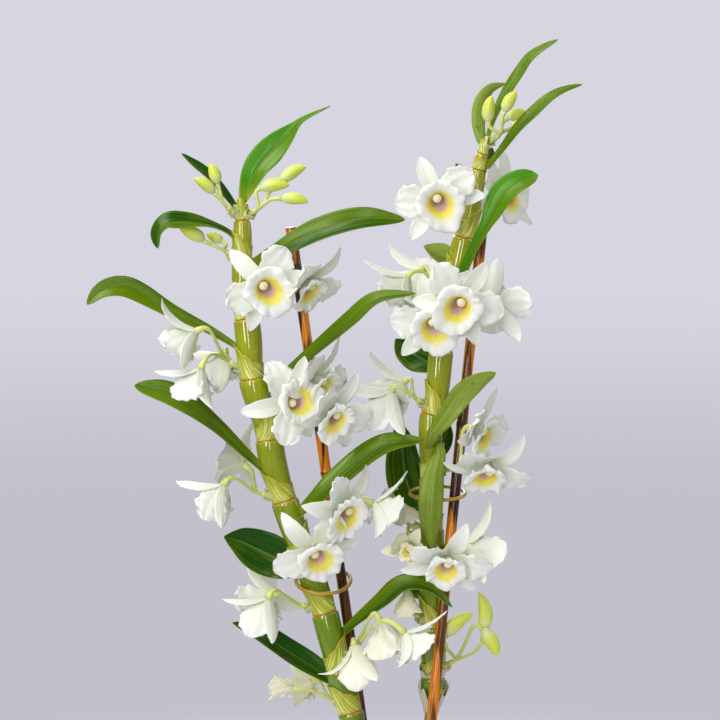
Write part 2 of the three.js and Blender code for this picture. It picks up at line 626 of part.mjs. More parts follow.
// ---------------------------------------------------------------- leaves
/** A strap leaf: a creased blade along its midline, narrow at its base and pointed at its tip. */
function leafSolid({ path, width, face, shape }) {
  const curve = new THREE.CatmullRomCurve3(path.map(vec), false, "centripetal");
  const stations = LEAF.shapes[path.length > 3 ? shape : "short"];
  const rows = stations.map(([u, share]) => {
    const middle = curve.getPointAt(u);
    const tangent = curve.getTangentAt(u);
    const up = vec(face[0]).lerp(vec(face[1]), u);
    up.addScaledVector(tangent, -up.dot(tangent)).normalize();
    const across = tangent.clone().cross(up);
    const half = (share * width) / 2;
    const place = (side, lift) => middle.clone().addScaledVector(across, side).addScaledVector(up, lift);
    const fold = LEAF.fold * half;
    return [place(-half, fold), place(0, -fold), place(half, fold)];
  });
  rows.push([curve.getPointAt(1)]);
  return thicken(rows.flat(), weave(rows), LEAF.thickness);
}

// ---------------------------------------------------------------- blooms
/** The bloom's own axes: z out of its face, y towards its upper sepal. */
function bloomFrame({ at, faces, dorsal, size = 1 }) {
  const z = vec(faces).normalize();
  const angle = THREE.MathUtils.degToRad(dorsal);
  const y = new THREE.Vector3(Math.cos(angle), 0, Math.sin(angle));
  y.addScaledVector(z, -y.dot(z)).normalize();
  const x = y.clone().cross(z);
  return new THREE.Matrix4().makeBasis(x, y, z).scale(new THREE.Vector3(size, size, size)).setPosition(...at);
}

/** A direction square to the bloom's axis, turned from its upper sepal. */
function outwards(degrees) {
  const angle = THREE.MathUtils.degToRad(degrees);
  return new THREE.Vector3(-Math.sin(angle), Math.cos(angle), 0);
}

/**
 * One petal or sepal on a side of the bloom's hub: a creased blade of even thickness that leaves the axis at
 * angle and curls back a little towards its tip. root holds the hub's four corners that it grows from.
 */
function addTepal(mesh, { length, width, stations, widths }, { turn, open, root, level, wave }) {
  const out = outwards(turn);
  const across = outwards(turn + 90);
  const half = TEPAL.thickness / 2;
  const pair = (u, side, reach) => {
    const lean = THREE.MathUtils.degToRad(open * (1 - TEPAL.curl + TEPAL.curl * u));
    const run = u * length;
    const middle = out.clone().multiplyScalar(HUB.radius / 2 + run * Math.sin(lean));
    middle.setZ(level + run * Math.cos(lean)).addScaledVector(across, side * reach);
    const normal = out.clone().multiplyScalar(-Math.cos(lean)).setZ(Math.sin(lean));
    const lift = side * side * TEPAL.cup + side * wave * Math.sin(TEPAL.waveTurns * u);
    middle.addScaledVector(normal, lift);
    mesh.points.push(middle.clone().addScaledVector(normal, half), middle.addScaledVector(normal, -half));
    return [mesh.points.length - 2, mesh.points.length - 1];
  };
  const rows = stations.map((u, k) => [-1, 0, 1].map((side) => pair(u, side, (widths[k] * width) / 2)));
  const tip = pair(1, 0, 0);
  const [near, ...others] = rows;
  const faces = [[root[0], near[0], near[1]], [root[0], near[1], root[1]], [root[1], near[1], near[2]]];
  others.forEach((row, k) => {
    for (const j of [0, 1]) {
      faces.push([rows[k][j], row[j], row[j + 1]], [rows[k][j], row[j + 1], rows[k][j + 1]]);
    }
  });
  const end = rows.at(-1);
  faces.push([end[0], tip, end[1]], [end[1], tip, end[2]]);
  for (const [a, b, c] of faces) mesh.faces.push([a[0], b[0], c[0]], [c[1], b[1], a[1]]);
  const sides = [rows.map((row) => row[0]), rows.map((row) => row[2]).reverse()];
  const border = [root[0], ...sides[0], tip, ...sides[1], root[1]];
  for (let i = 0; i + 1 < border.length; i++) {
    const [p, q] = [border[i], border[i + 1]];
    mesh.faces.push([q[0], p[0], p[1]], [q[0], p[1], q[1]]);
  }
}

/** Triangles from a ring of corners up to a ring with the same count, or with one more point on each side. */
function addBand(mesh, low, high) {
  const count = low.length;
  low.forEach((a, i) => {
    const b = low[(i + 1) % count];
    if (high.length === count) {
      mesh.faces.push([a, b, high[(i + 1) % count]], [a, high[(i + 1) % count], high[i]]);
    } else {
      const [left, middle, right] = [high[2 * i], high[2 * i + 1], high[(2 * i + 2) % high.length]];
      mesh.faces.push([a, b, middle], [a, middle, left], [b, right, middle]);
    }
  });
}

/** The lip: a ruffled funnel on top of the hub, longer on its lower side, narrower on a half-open bloom. */
function addLip(mesh, top, open, far) {
  const { lean, waist, mouth, depth, slant, ruffle, wall } = LIP;
  const spread = Math.min(open / LIP.openAt, 1);
  const tilt = THREE.MathUtils.degToRad(lean * spread ** 2);
  const axis = new THREE.Vector3(0, -Math.sin(tilt), Math.cos(tilt));
  const down = new THREE.Vector3(0, -Math.cos(tilt), -Math.sin(tilt));
  const after = [...HUB.corners.slice(1), HUB.corners[0] + 360];
  const turns = HUB.corners.flatMap((turn, i) => [turn, (turn + after[i]) / 2]);
  const ring = (radius, height, sway, frill) =>
    turns.map((turn, k) => {
      const angle = THREE.MathUtils.degToRad(turn - 180);
      const rise = height + sway * Math.cos(angle) + frill * (k % 2 ? 1 : -1);
      const point = axis.clone().multiplyScalar(rise).addScaledVector(down, radius * Math.cos(angle));
      return mesh.points.push(point.setX(radius * Math.sin(angle))) - 1;
    });
  const outer = [];
  const inner = [];
  if (!far) {
    outer.push(ring(waist * spread, depth / 2, 0, 0));
    inner.push(ring(waist * spread - wall, depth / 2, 0, 0));
  }
  outer.push(ring(mouth * spread, depth, slant, ruffle));
  inner.push(ring(mouth * spread - wall, depth, slant, ruffle));
  const floor = HUB.corners.map((turn) => {
    return mesh.points.push(outwards(turn).multiplyScalar(HUB.radius - wall).setZ(HUB.rise + wall)) - 1;
  });
  [top, ...outer].slice(0, -1).forEach((low, i) => addBand(mesh, low, outer[i]));
  const flipped = { points: mesh.points, faces: [] };
  [floor, ...inner].slice(0, -1).forEach((low, i) => addBand(flipped, low, inner[i]));
  for (const [a, b, c] of flipped.faces) mesh.faces.push([c, b, a]);
  addBand(mesh, outer.at(-1), inner.at(-1));
  for (let k = 1; k + 1 < floor.length; k++) mesh.faces.push([floor[0], floor[k], floor[k + 1]]);
}

/** Points and directions along a stalk, from the middle of a bloom or bud back to where the stalk starts. */
function stalkRun(start, outward, end, arriving) {
  const reach = start.distanceTo(end);
  const curve = new THREE.CubicBezierCurve3(
    start,
    start.clone().addScaledVector(outward, STALK.leave * reach),
    end.clone().addScaledVector(arriving, -STALK.arrive * reach),
    end,
  );
  return STALK.steps.map((u) => ({ point: curve.getPoint(u), tangent: curve.getTangent(u) }));
}

/**
 * One bloom with its stalk as a single body. A five-sided hub carries three sepals on its lower tier, two
 * petals on its upper tier, the lip on its top, and below it the stalk, which runs back to the given points.
 */
function bloomSolid(bloom, start, outward, foot) {
  const { open, far, size = 1 } = bloom;
  const { corners, radius, rise } = HUB;
  const mesh = { points: [], faces: [] };
  const corner = (turn, z) => mesh.points.push(outwards(turn).multiplyScalar(radius).setZ(z)) - 1;
  const rings = [-rise, 0, rise].map((z) => corners.map((turn) => corner(turn, z)));
  TEPAL.turns.forEach((turn, i) => {
    const next = (i + 1) % corners.length;
    const isPetal = TEPAL.petals.includes(i);
    const [low, middle, high] = rings;
    const full = isPetal ? [middle, high] : [low, middle];
    const bare = isPetal ? [low, middle] : [middle, high];
    const shape = isPetal ? (far ? FAR_PETAL : PETAL) : SEPAL;
    const root = [[full[1][i], full[0][i]], [full[1][next], full[0][next]]];
    const level = isPetal ? rise / 2 : -rise / 2;
    const back = turn === TEPAL.dorsal && open > TEPAL.closed ? TEPAL.reflex * (LIP.openAt - open) : 0;
    const lean = open + (isPetal ? 0 : TEPAL.behind + back);
    addTepal(mesh, shape, { turn, open: lean, root, level, wave: isPetal ? TEPAL.wave : 0 });
    mesh.faces.push([bare[0][i], bare[0][next], bare[1][next]], [bare[0][i], bare[1][next], bare[1][i]]);
  });
  addLip(mesh, rings[2], open, far);
  const frame = bloomFrame(bloom);
  for (const point of mesh.points) point.applyMatrix4(frame);

  const side = new THREE.Vector3().setFromMatrixColumn(frame, 1).normalize();
  const back = new THREE.Vector3().setFromMatrixColumn(frame, 2).normalize();
  const end = vec(bloom.at).addScaledVector(back, -rise * size);
  const run = stalkRun(start, outward, end, back).slice(0, -1).reverse();
  const stations = foot ? [...run, { point: foot, tangent: outward }] : run;
  let upper = rings[0];
  stations.forEach(({ point, tangent }, k) => {
    side.addScaledVector(tangent, -side.dot(tangent)).normalize();
    const other = tangent.clone().cross(side);
    const thick = k >= run.length - 1 && foot ? STALK.peduncle : STALK.radii[k];
    const ring = corners.map((turn) => {
      return mesh.points.push(around(point, side, other, thick, THREE.MathUtils.degToRad(turn))) - 1;
    });
    addBand(mesh, ring, upper);
    upper = ring;
  });
  for (let k = 1; k + 1 < upper.length; k++) mesh.faces.push([upper[0], upper[k + 1], upper[k]]);
  return solidOf(mesh.points, mesh.faces);
}

/** A closed bud, a pointed egg, in one tube with its stalk. */
function budSolid({ at, along: direction, length = BUD.length, width = BUD.width }, start, outward, root) {
  const axis = vec(direction).normalize();
  const eggPoints = BUD.egg.map(([share]) => vec(at).addScaledVector(axis, share * length));
  const run = stalkRun(start, outward, eggPoints[0], axis).slice(0, -1).map(({ point }) => point);
  const thin = run.map((_, i) => (i === 0 && root ? STALK.peduncle : STALK.radii.at(-1)));
  const girths = BUD.egg.map(([, girth]) => (girth * width) / 2);
  if (!root) return tube([...run, ...eggPoints], [...thin, ...girths], BUD.sides);
  return tube([root, ...run, ...eggPoints], [STALK.peduncle, ...thin, ...girths], BUD.sides);
}

/** All that grows from one node of a cane: a short common stalk, then a stalk to each bloom and bud. */
function spraySolid({ cane, node, fork, blooms = [], buds = [] }) {
  const root = caneAt(CANES[cane], node);
  const split = vec(fork);
  const outward = split.clone().sub(root).normalize();
  const inside = split.clone().addScaledVector(outward, -1);
  const grow = (make) => (one, i) => make(one, i === 0 ? split : inside, outward, i === 0 ? root : null);
  return join([...blooms.map(grow(bloomSolid)), ...buds.map(grow(budSolid))]);
}

// ---------------------------------------------------------------- the plant
const FINISHES = {
  pot: { color: 0xe6e3dc, roughness: 0.35, metalness: 0 },
  growing_medium: { color: 0x6b4a30, roughness: 0.95, metalness: 0 },
  cane: { color: 0x86a51e, roughness: 0.35, metalness: 0 },
  stake: { color: 0xa6561c, roughness: 0.3, metalness: 0 },
  ring: { color: 0xbd9140, roughness: 0.3, metalness: 0 },
  leaf: { color: 0x3c7222, roughness: 0.4, metalness: 0 },
  spray: { color: 0xf0f1ea, roughness: 0.6, metalness: 0 },
  buds: { color: 0xcdd75a, roughness: 0.5, metalness: 0 },
};
const group = new THREE.Group();
const mapped = (table, make) =>
  Object.fromEntries(Object.entries(table).map(([name, row]) => [name, make(row)]));
const materials = mapped(FINISHES, (look) => new THREE.MeshStandardMaterial(look));

/** Adds a solid to the plant as a mesh of its own. */
function place(name, solid, finish) {
  const { vertProperties, triVerts } = solid.getMesh();
  const geometry = new THREE.BufferGeometry();
  geometry.setAttribute("position", new THREE.BufferAttribute(vertProperties, 3));
  geometry.setIndex(new THREE.BufferAttribute(triVerts, 1));
  const mesh = new THREE.Mesh(geometry, materials[finish]);
  mesh.name = name;
  group.add(mesh);
}

const fatCanes = mapped(CANES, (cane) => caneSolid(cane, GAP));
const clearOf = (cane, solid) => mainBody(solid.subtract(fatCanes[cane]));
const fatStakes = Object.values(STAKES).map((stake) => stakeSolid(stake, GAP));
place("pot", potSolid(), "pot");
place("growing_medium", mediumSolid([...Object.values(fatCanes), ...fatStakes]), "growing_medium");
for (const [name, cane] of Object.entries(CANES)) place(name, caneSolid(cane), "cane");
for (const [name, stake] of Object.entries(STAKES)) place(name, stakeSolid(stake), "stake");
for (const [name, ring] of Object.entries(RINGS)) place(name, ringSolid(ring), "ring");
for (const [name, leaf] of Object.entries(LEAVES)) place(name, clearOf(leaf.cane, leafSolid(leaf)), "leaf");
for (const [name, spray] of Object.entries(SPRAYS)) {
  place(name, clearOf(spray.cane, spraySolid(spray)), spray.blooms ? "spray" : "buds");
}

export default group;
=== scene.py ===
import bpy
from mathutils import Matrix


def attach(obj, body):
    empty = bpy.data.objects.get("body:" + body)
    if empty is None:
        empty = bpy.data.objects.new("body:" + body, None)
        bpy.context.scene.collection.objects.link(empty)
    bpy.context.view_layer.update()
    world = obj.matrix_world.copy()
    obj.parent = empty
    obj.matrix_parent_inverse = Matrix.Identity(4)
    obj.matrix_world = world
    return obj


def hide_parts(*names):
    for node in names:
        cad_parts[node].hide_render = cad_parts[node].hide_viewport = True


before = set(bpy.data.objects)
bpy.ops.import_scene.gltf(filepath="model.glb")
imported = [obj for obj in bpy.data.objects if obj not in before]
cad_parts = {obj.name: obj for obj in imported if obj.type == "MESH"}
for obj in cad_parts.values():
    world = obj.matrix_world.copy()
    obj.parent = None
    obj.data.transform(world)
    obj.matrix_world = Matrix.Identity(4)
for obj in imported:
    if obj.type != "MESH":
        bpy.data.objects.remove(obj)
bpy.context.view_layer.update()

import math

import bpy
import numpy as np
from mathutils import Vector

bl_info = {
    "name": "Potted Dendrobium",
    "version": (1, 0, 0),
    "blender": (4, 5, 0),
    "location": "3D View > Sidebar > Dendrobium",
    "description": "Builds a dendrobium with two flowering canes tied to bamboo stakes in a pot of bark",
    "category": "Add Mesh",
}

MM = 0.001
RIGHT, UP = np.array([1.0, 0, 0]), np.array([0, 0, 1.0])
BODY = "root"

# Millimetres from here on, +Z up, with the origin at the centre of the pot's foot.
# Each cane: its centreline from the foot to the tip, its half-width at some heights, its nodes as
# (height, side), where side is -1 for a leaf and spray on the left and 1 for the right, and its dry
# husks as (height of the foot, length).
CANES = {
    "cane_left": {
        "path": [
            (-15, 0, 76), (-21, -3, 105), (-29, -4, 145), (-35, -3, 166), (-42, -2, 194), (-50, 0, 225),
            (-62, 0, 257), (-73, 0, 288), (-84, 0, 325), (-89, 0, 352), (-98, 0, 382), (-101, 0, 414),
            (-104, 0, 439), (-105, 0, 463), (-105, 0, 487), (-106, 0, 510)],
        "girth": [
            (76, 5), (115, 6.5), (150, 9.4), (215, 9.6), (300, 9.8), (370, 9.8), (414, 9.4), (460, 7.6),
            (488, 6.4), (510, 2.6)],
        "nodes": [
            (110, 1), (148, -1), (178, 1), (218, -1), (257, 1), (298, -1), (341, 1), (384, -1), (426, 1),
            (467, -1), (495, 1)],
        "husks": [(110, 26)],
    },
    "cane_right": {
        "path": [
            (25, 0, 76), (25.5, 0, 110), (27.5, 0, 150), (28.5, 0, 172), (28, 0, 209), (27.5, 0, 267),
            (27, 0, 314), (27, 0, 355), (31, 0, 372), (33, 0, 397), (36.5, 0, 425), (44, 0, 456),
            (50, 0, 483), (57, 0, 516), (62, 0, 541), (66, 0, 553)],
        "girth": [
            (76, 4.6), (110, 5.5), (146, 4.6), (158, 7.6), (172, 8.9), (260, 8.9), (350, 8.6), (397, 8.8),
            (470, 8.6), (500, 7.2), (530, 5.2), (553, 2.2)],
        "nodes": [
            (110, -1), (146, 1), (172, 1), (208, -1), (243, 1), (278, -1), (314, 1), (359, -1), (404, 1),
            (446, -1), (483, 1), (512, -1), (530, 1), (541, -1)],
        "husks": [(110, 22), (146, 24), (172, 9)],
    },
}
JOINT = {
    "waist": 0.79, "groove": 0.92, "widest": 0.93, "columns": 40, "step": 2.5, "seam": 1.1, "dome": 1.2,
    "near": np.array([-2.2, -1.2, -0.6, 0, 0.6, 1.2]),
}
SHEATH = {
    "tall": 24, "low": 10, "share": 0.7, "stand": 0.4, "flare": 0.7, "thickness": 0.35, "columns": 56,
    "rows": 12,
}

STAKES = {  # two points of the axis, the node's height and the scorched bands' heights, in mm
    "stake_left": {"low": (-22.4, 9.5, 145), "high": (-71.4, -0.9, 490), "knob": 317,
                   "scorched": [(40, 262), (276, 292), (340, 402), (430, 466)]},
    "stake_right": {"low": (27.3, -17, 145), "high": (62.2, 7.4, 486), "knob": 352,
                    "scorched": [(40, 128), (285, 366), (418, 426), (467, 492)]},
}
STAKE = {
    "radius": 3.7, "foot": 48, "knob": 0.55, "line": 0.3, "chamfer": 0.3, "end": 0.7, "smoky": 6,
    "rows": 90, "columns": 28,
    "near": np.array([-5, -3, -1.8, -1, -0.5, 0, 0.5, 1, 1.8, 3, 5]),
}
RINGS = {
    "ring_left": {"at": (-48.9, 2.4, 240.8), "tilt": 20},
    "ring_right": {"at": (31.5, 0.7, 303), "tilt": 7},
}
RING = {"radius": 19.3, "wire": 1.35}
# The bead, lip and fillet are the radii of the pot's rounded edges, and thrown is how far apart its
# throwing rings are.
POT = {
    "height": 105, "top": 60, "foot": 45, "wall": 4, "floor": 5, "rim": 9, "rim_depth": 14, "bead": 1.5,
    "lip": 2, "fillet": 3, "thrown": 4.2,
}
# The bed lies sunk below the bark's top, with a gap to the pot. The chips' extents are half their sizes.
BARK = {
    "top": 95, "sunk": 4, "gap": 0.6, "middle": 50, "chips": 230, "squared": 0.55, "buried": 3.2,
    "heaved": (-2.0, 2.6), "extents": ((4, 8.5), (3, 5.5), (1.2, 2.6)), "clear": 9.5,
}

# Each leaf: its midline from the base to the tip, its full width, the direction that its upper face
# looks at the base and at the tip, its outline, and its tone from 0, dark, to 1, light.
LEAVES = {
    "leaf_l1_top": (
        [(-107, 3, 499), (-125, 10, 522), (-148, 15, 541)], 11, (0.4, -0.5, 0.8), (0.4, -0.5, 0.8),
        "lance", 0.1),
    "leaf_l2_tall": (
        [(-104, 1, 508), (-95, 6, 531), (-84, 9, 544), (-73, 9, 555), (-64, 8, 564), (-44, 5, 574)], 21,
        (-0.4, -1, 0.2), (-0.2, -1, 0.4), "drawn", 0.95),
    "leaf_l3": (
        [(-108, 0, 481), (-117, -6, 488), (-130, -11, 493), (-146, -14, 495), (-157, -16, 494),
        (-163, -17, 487), (-163, -17, 476)], 17, (0.2, -0.5, 0.9), (-0.8, -0.5, 0.2), "spoon", 0.25),
    "leaf_l4": (
        [(-101, 0, 462), (-80, -12, 474), (-51, -20, 489), (-22, -22, 497), (8, -20, 496)], 19,
        (-0.4, -0.85, 0.5), (0, -0.85, 0.5), "lance", 0.32),
    "leaf_l5": (
        [(-104, 2, 402), (-128, 6, 417), (-156, 8, 431), (-188, 6, 448), (-203, 4, 446), (-214, 2, 436)],
        15, (0.3, -0.6, 0.8), (-0.3, -0.95, 0.2), "spoon", 0.5),
    "leaf_l6": (
        [(-92, -2, 372), (-65, -15, 396), (-30, -26, 427), (-12, -30, 442), (15, -34, 446)], 15,
        (-0.5, -0.65, 0.6), (-0.1, -0.65, 0.75), "lance", 0.5),
    "leaf_l7": (
        [(-88, 0, 316), (-104, -2, 332), (-125, -2, 352), (-156, 0, 373), (-181, 2, 379)], 18,
        (0.5, -0.7, 0.6), (0.1, -0.8, 0.5), "spoon", 0.5),
    "leaf_l8": (
        [(-70, -2, 284), (-57, -12, 298), (-37, -18, 317), (-6, -20, 340), (21, -20, 343)], 19,
        (-0.5, -0.75, 0.5), (-0.1, -0.75, 0.6), "lance", 0.55),
    "leaf_l9": (
        [(-62, 4, 250), (-76, 10, 253), (-91, 12, 259), (-107, 11, 267), (-119, 8, 271)], 30,
        (0, -1, 0.2), (-0.2, -1, 0.2), "oval", 0.05),
    "leaf_l10": (
        [(-43, 2, 194), (-33, -4, 206), (-9, -17, 229), (8, -24, 243), (26, -28, 241), (41, -28, 227)],
        14, (-0.6, -0.6, 0.5), (0.5, -0.6, 0.6), "lance", 0.35),
    "leaf_l11": (
        [(-38, 0, 166), (-52, 0, 177), (-72, 0, 190), (-94, 0, 204), (-113, 0, 211)], 18,
        (0.3, -0.75, 0.5), (0.3, -0.75, 0.5), "strap", 0.05),
    "leaf_r1_tip": (
        [(65, 3, 548), (71, 5, 568), (79, 4, 584), (88, 3, 598), (95, 1, 608), (103, 0, 614),
        (114, -2, 620)], 8.5, (-0.5, -0.85, 0.2), (-0.5, -0.85, 0.3), "lance", 0.6),
    "leaf_r2": (
        [(63, 4, 546), (60, 12, 562), (62, 16, 577), (68, 18, 586), (79, 20, 590)], 10, (-0.3, 0.95, 0.2),
        (0.1, 0.95, 0.2), "strap", 0.5),
    "leaf_r3": (
        [(61, 0, 525), (76, -7, 545), (87, -10, 560), (98, -12, 571), (108, -14, 580), (117, -14, 585),
        (130, -14, 589)], 9.5, (-0.5, -0.7, 0.4), (-0.3, -0.7, 0.6), "lance", 0.5),
    "leaf_r4": (
        [(60, 2, 530), (66, 12, 537), (70, 18, 545)], 10, (0, -1, 0.3), (0, -1, 0.3), "oval", 0.2),
    "leaf_r5": (
        [(57, 3, 518), (50, 10, 527), (44, 14, 534)], 9, (0.3, -1, 0.3), (0.3, -1, 0.3), "oval", 0.2),
    "leaf_r6": (
        [(44, -4, 448), (50, -14, 463), (58, -22, 481), (67, -27, 499), (75, -30, 514), (85, -31, 522),
        (99, -30, 527)], 20, (-0.5, -0.9, 0.2), (-0.3, -0.8, 0.6), "paddle", 0.9),
    "leaf_r7": (
        [(47, 2, 466), (36, 14, 470), (22, 18, 476)], 15, (0.2, 0.9, 0.3), (0.2, 0.9, 0.3), "oval", 0.6),
    "leaf_r8": (
        [(33, 3, 391), (22, 14, 396), (10, 20, 402), (2, 22, 410)], 22, (0.2, -1, 0.2), (0, -1, 0),
        "oval", 0.1),
    "leaf_r9": (
        [(24, -5, 335), (27, -14, 346), (36, -20, 359), (48, -22, 376), (60, -22, 385), (71, -22, 390)],
        17, (0.6, 0.8, -0.2), (0.4, 0.8, -0.3), "lance", 0.6),
    "leaf_r10": (
        [(26, 5, 287), (18, 28, 292), (11, 32, 305), (8, 31, 321), (7, 27, 338), (4, 22, 352)], 27,
        (0, -1, 0.1), (-0.2, -1, 0.1), "oval", 0.18),
    "leaf_r11": (
        [(31, -4, 339), (32, -15, 333), (28, -22, 316), (26, -24, 292), (27, -22, 268)], 17,
        (0.2, 0.9, 0.3), (-0.2, 0.95, 0), "lance", 0.6),
    "leaf_r12": (
        [(27, 4, 228), (18, 14, 236), (11, 18, 246)], 17, (0, -1, 0.2), (0, -1, 0.2), "oval", 0.1),
    "leaf_r13": (
        [(28, 4, 326), (36, 14, 337), (41, 18, 349)], 12, (0, -1, 0.2), (0, -1, 0.2), "oval", 0.2),
    "leaf_r14": (
        [(26, 4, 256), (17, 16, 264), (5, 22, 270)], 18, (0, -1, 0.2), (0, -1, 0.2), "oval", 0.1),
}
LEAF = {
    "rows": 44, "columns": 15, "fold": 0.16, "base_fold": 0.5, "wave": 0.04, "thin_margin": 0.55,
    "shapes": {
        "strap": [(0, 0.42), (0.14, 0.74), (0.38, 1), (0.64, 0.93), (0.84, 0.6), (0.95, 0.27), (1, 0.04)],
        "lance": [(0, 0.34), (0.2, 0.6), (0.45, 0.94), (0.62, 1), (0.78, 0.84), (0.9, 0.54),
                  (0.97, 0.28), (1, 0.05)],
        "spoon": [(0, 0.3), (0.25, 0.5), (0.5, 0.8), (0.72, 1), (0.84, 0.92), (0.93, 0.64),
                  (0.98, 0.32), (1, 0.06)],
        "drawn": [(0, 0.3), (0.1, 0.6), (0.24, 0.9), (0.4, 1), (0.5, 0.88), (0.6, 0.65), (0.73, 0.28),
                  (0.86, 0.14), (1, 0.03)],
        "paddle": [(0, 0.42), (0.3, 0.42), (0.5, 0.5), (0.64, 0.8), (0.78, 1), (0.9, 0.85), (0.97, 0.5),
                   (1, 0.06)],
        "oval": [(0, 0.42), (0.14, 0.74), (0.38, 1), (0.6, 0.97), (0.8, 0.7), (0.92, 0.36), (1, 0.04)],
    },
}

# Each spray: its cane, the height of its node and the point where its stalk forks, then its blooms and
# buds.
# A bloom: the point where its petals meet, the direction that it faces, the direction of its upper sepal
# as an angle in the front view (90 is up), how far its petals open from its axis, and its size.
# A bud: its middle, its direction, its length and its width.
SPRAYS = {
    "spray_l1_buds_right": ("cane_left", 496, (-95, -6, 502), [], [
        ((-82, -8, 518), (0.97, -0.2, 0.12), 21, 9.5),
        ((-69, -4, 527), (0.86, 0, 0.5), 20, 9),
        ((-68, -14, 509), (0.97, -0.2, -0.12), 19, 8.5)]),
    "spray_l2_buds_left": ("cane_left", 496, (-115, -5, 504), [], [
        ((-131, -8, 519), (-0.79, -0.2, 0.6), 18, 8),
        ((-125, -2, 527), (-0.35, 0, 0.9), 15, 8.5)]),
    "spray_l3_buds": ("cane_left", 467, (-116, -4, 473), [], [
        ((-140, -7, 485), (-0.87, -0.2, 0.45), 19, 9.5),
        ((-125, 8, 482), (-0.8, 0.2, 0.35), 13, 7.5)]),
    "spray_l4": ("cane_left", 428, (-90, -10, 436), [
        ((-90, -30, 451), (0.1, -1, 0.05), 135, 84, 1),
        ((-62, -16, 454), (0.6, -0.5, -0.55), 48, 64, 1)], []),
    "spray_l5": ("cane_left", 386, (-114, -4, 396), [
        ((-137, -18, 418), (-0.8, 0.18, -0.57), 150, 50, 1),
        ((-133, -28, 393), (-0.35, 0.2, -0.92), 165, 46, 1),
        ((-118, 14, 400), (-0.2, 0.35, -0.9), 110, 46, 1)], []),
    "spray_l6": ("cane_left", 343, (-74, -10, 352), [
        ((-73, -36, 371), (0.42, -0.9, 0.03), 188, 84, 1),
        ((-55, -23, 387), (0.8, -0.45, -0.35), 55, 76, 1),
        ((-43, -41, 366), (0.5, -0.75, -0.4), 60, 68, 1)], []),
    "spray_l7": ("cane_left", 300, (-92, -4, 303), [
        ((-118, -18, 311), (-0.45, 0.15, -0.88), 165, 48, 1),
        ((-105, 14, 321), (-0.8, 0.45, 0.25), 80, 76, 1)], []),
    "spray_l8": ("cane_left", 259, (-48, -10, 268), [
        ((-36, -40, 299), (0.68, -0.68, -0.29), 40, 82, 1),
        ((-14, -33, 300), (0.85, 0.12, -0.5), 56, 58, 1),
        ((-56, -38, 270), (0.25, -0.85, -0.45), 130, 82, 1)], []),
    "spray_l9": ("cane_left", 220, (-64, -4, 224), [
        ((-87, -22, 232), (-0.35, 0.18, -0.92), 162, 46, 1),
        ((-84, 17, 228), (-0.6, 0.6, -0.4), 110, 60, 1)], []),
    "spray_l10": ("cane_left", 180, (-30, -12, 190), [
        ((-27, -28, 200), (0.15, -0.05, -1), 150, 38, 1),
        ((-9, -31, 217), (0.3, 0.1, -0.95), 200, 38, 1),
        ((8, -52, 213), (0.65, 0.1, -0.72), 38, 60, 1)], []),
    "spray_l11": ("cane_left", 150, (-42, -4, 156), [
        ((-70, -10, 166), (-0.95, 0.1, 0), 90, 26, 0.62),
        ((-57, 12, 166), (-0.6, 0.5, -0.5), 90, 46, 0.7)], []),
    "spray_r1_buds": ("cane_right", 546, (73, -8, 554), [], [
        ((67, -10, 572), (0.12, -0.1, 1), 19, 9),
        ((81, -12, 577), (0.5, -0.1, 0.85), 17, 8.5),
        ((86, 4, 568), (0.9, 0.1, 0.4), 13, 8),
        ((87, -1, 560), (0.95, 0.1, 0.3), 12, 8)]),
    "spray_r2": ("cane_right", 490, (39, -9, 496), [
        ((30, -27, 511), (-0.03, -1, 0.02), 118, 84, 1)], []),
    "spray_r3": ("cane_right", 500, (66, 5, 506), [
        ((75, 20, 512), (0.7, -0.65, 0.15), 75, 76, 1)], []),
    "spray_r4": ("cane_right", 448, (30, 8, 453), [
        ((10, 4, 455), (-0.6, 0.2, -0.75), 160, 54, 1),
        ((21, 22, 459), (-0.3, 0.6, -0.7), 120, 60, 1)], []),
    "spray_r5": ("cane_right", 436, (46, -14, 438), [
        ((45, -48, 442), (0.1, -0.98, -0.1), 55, 84, 1),
        ((27, -37, 429), (-0.05, -0.95, -0.25), 105, 84, 1),
        ((66, -24, 439), (0.15, 0.98, 0.1), 75, 84, 1)], []),
    "spray_r6": ("cane_right", 362, (17, -7, 370), [
        ((-1, -10, 376), (-0.3, 0.5, -0.8), 160, 50, 1),
        ((8, 15, 380), (-0.6, 0.35, -0.5), 120, 58, 1)], []),
    "spray_r7": ("cane_right", 317, (43, -15, 323), [
        ((56, -26, 352), (0.85, -0.5, -0.3), 52, 74, 1),
        ((66, -24, 327), (0.05, -0.68, -0.72), 60, 70, 1)], []),
    "spray_r8": ("cane_right", 276, (14, 4, 279), [
        ((0, 4, 298), (0.25, 0.05, -0.97), 100, 40, 0.8),
        ((13, -13, 267), (-0.25, -0.95, -0.12), 60, 38, 0.75)], []),
    "spray_r9": ("cane_right", 245, (27, -14, 250), [
        ((38, -38, 264), (-0.05, -0.8, -0.55), 72, 70, 1),
        ((51, -21, 270), (0.8, 0.45, -0.4), 63, 62, 1)], []),
    "spray_r10": ("cane_right", 210, (16, -7, 218), [
        ((10, -10, 235), (0.05, 0, -1), 120, 28, 0.7)], []),
    "spray_r11_buds": ("cane_right", 176, (42, -5, 184), [], [
        ((47, -10, 211), (0.75, -0.1, 0.66), 25, 10),
        ((62, -4, 219), (-0.1, 0, 1), 29, 10),
        ((68, -8, 198), (0.48, -0.1, -0.87), 22, 10.5)]),
}
HUB = {"radius": 2.8, "rise": 0.8}
SEPAL = {
    "length": 32, "width": 13, "turns": (122, 238, 360), "cup": 1.6, "wave": 0.35, "behind": 6, "green": 0.3,
    "reflex": 0.45, "closed": 40,
    "widths": [(0, 0.5), (0.12, 0.72), (0.32, 0.95), (0.5, 1), (0.7, 0.88), (0.86, 0.58), (0.95, 0.31),
               (1, 0.05)],
}
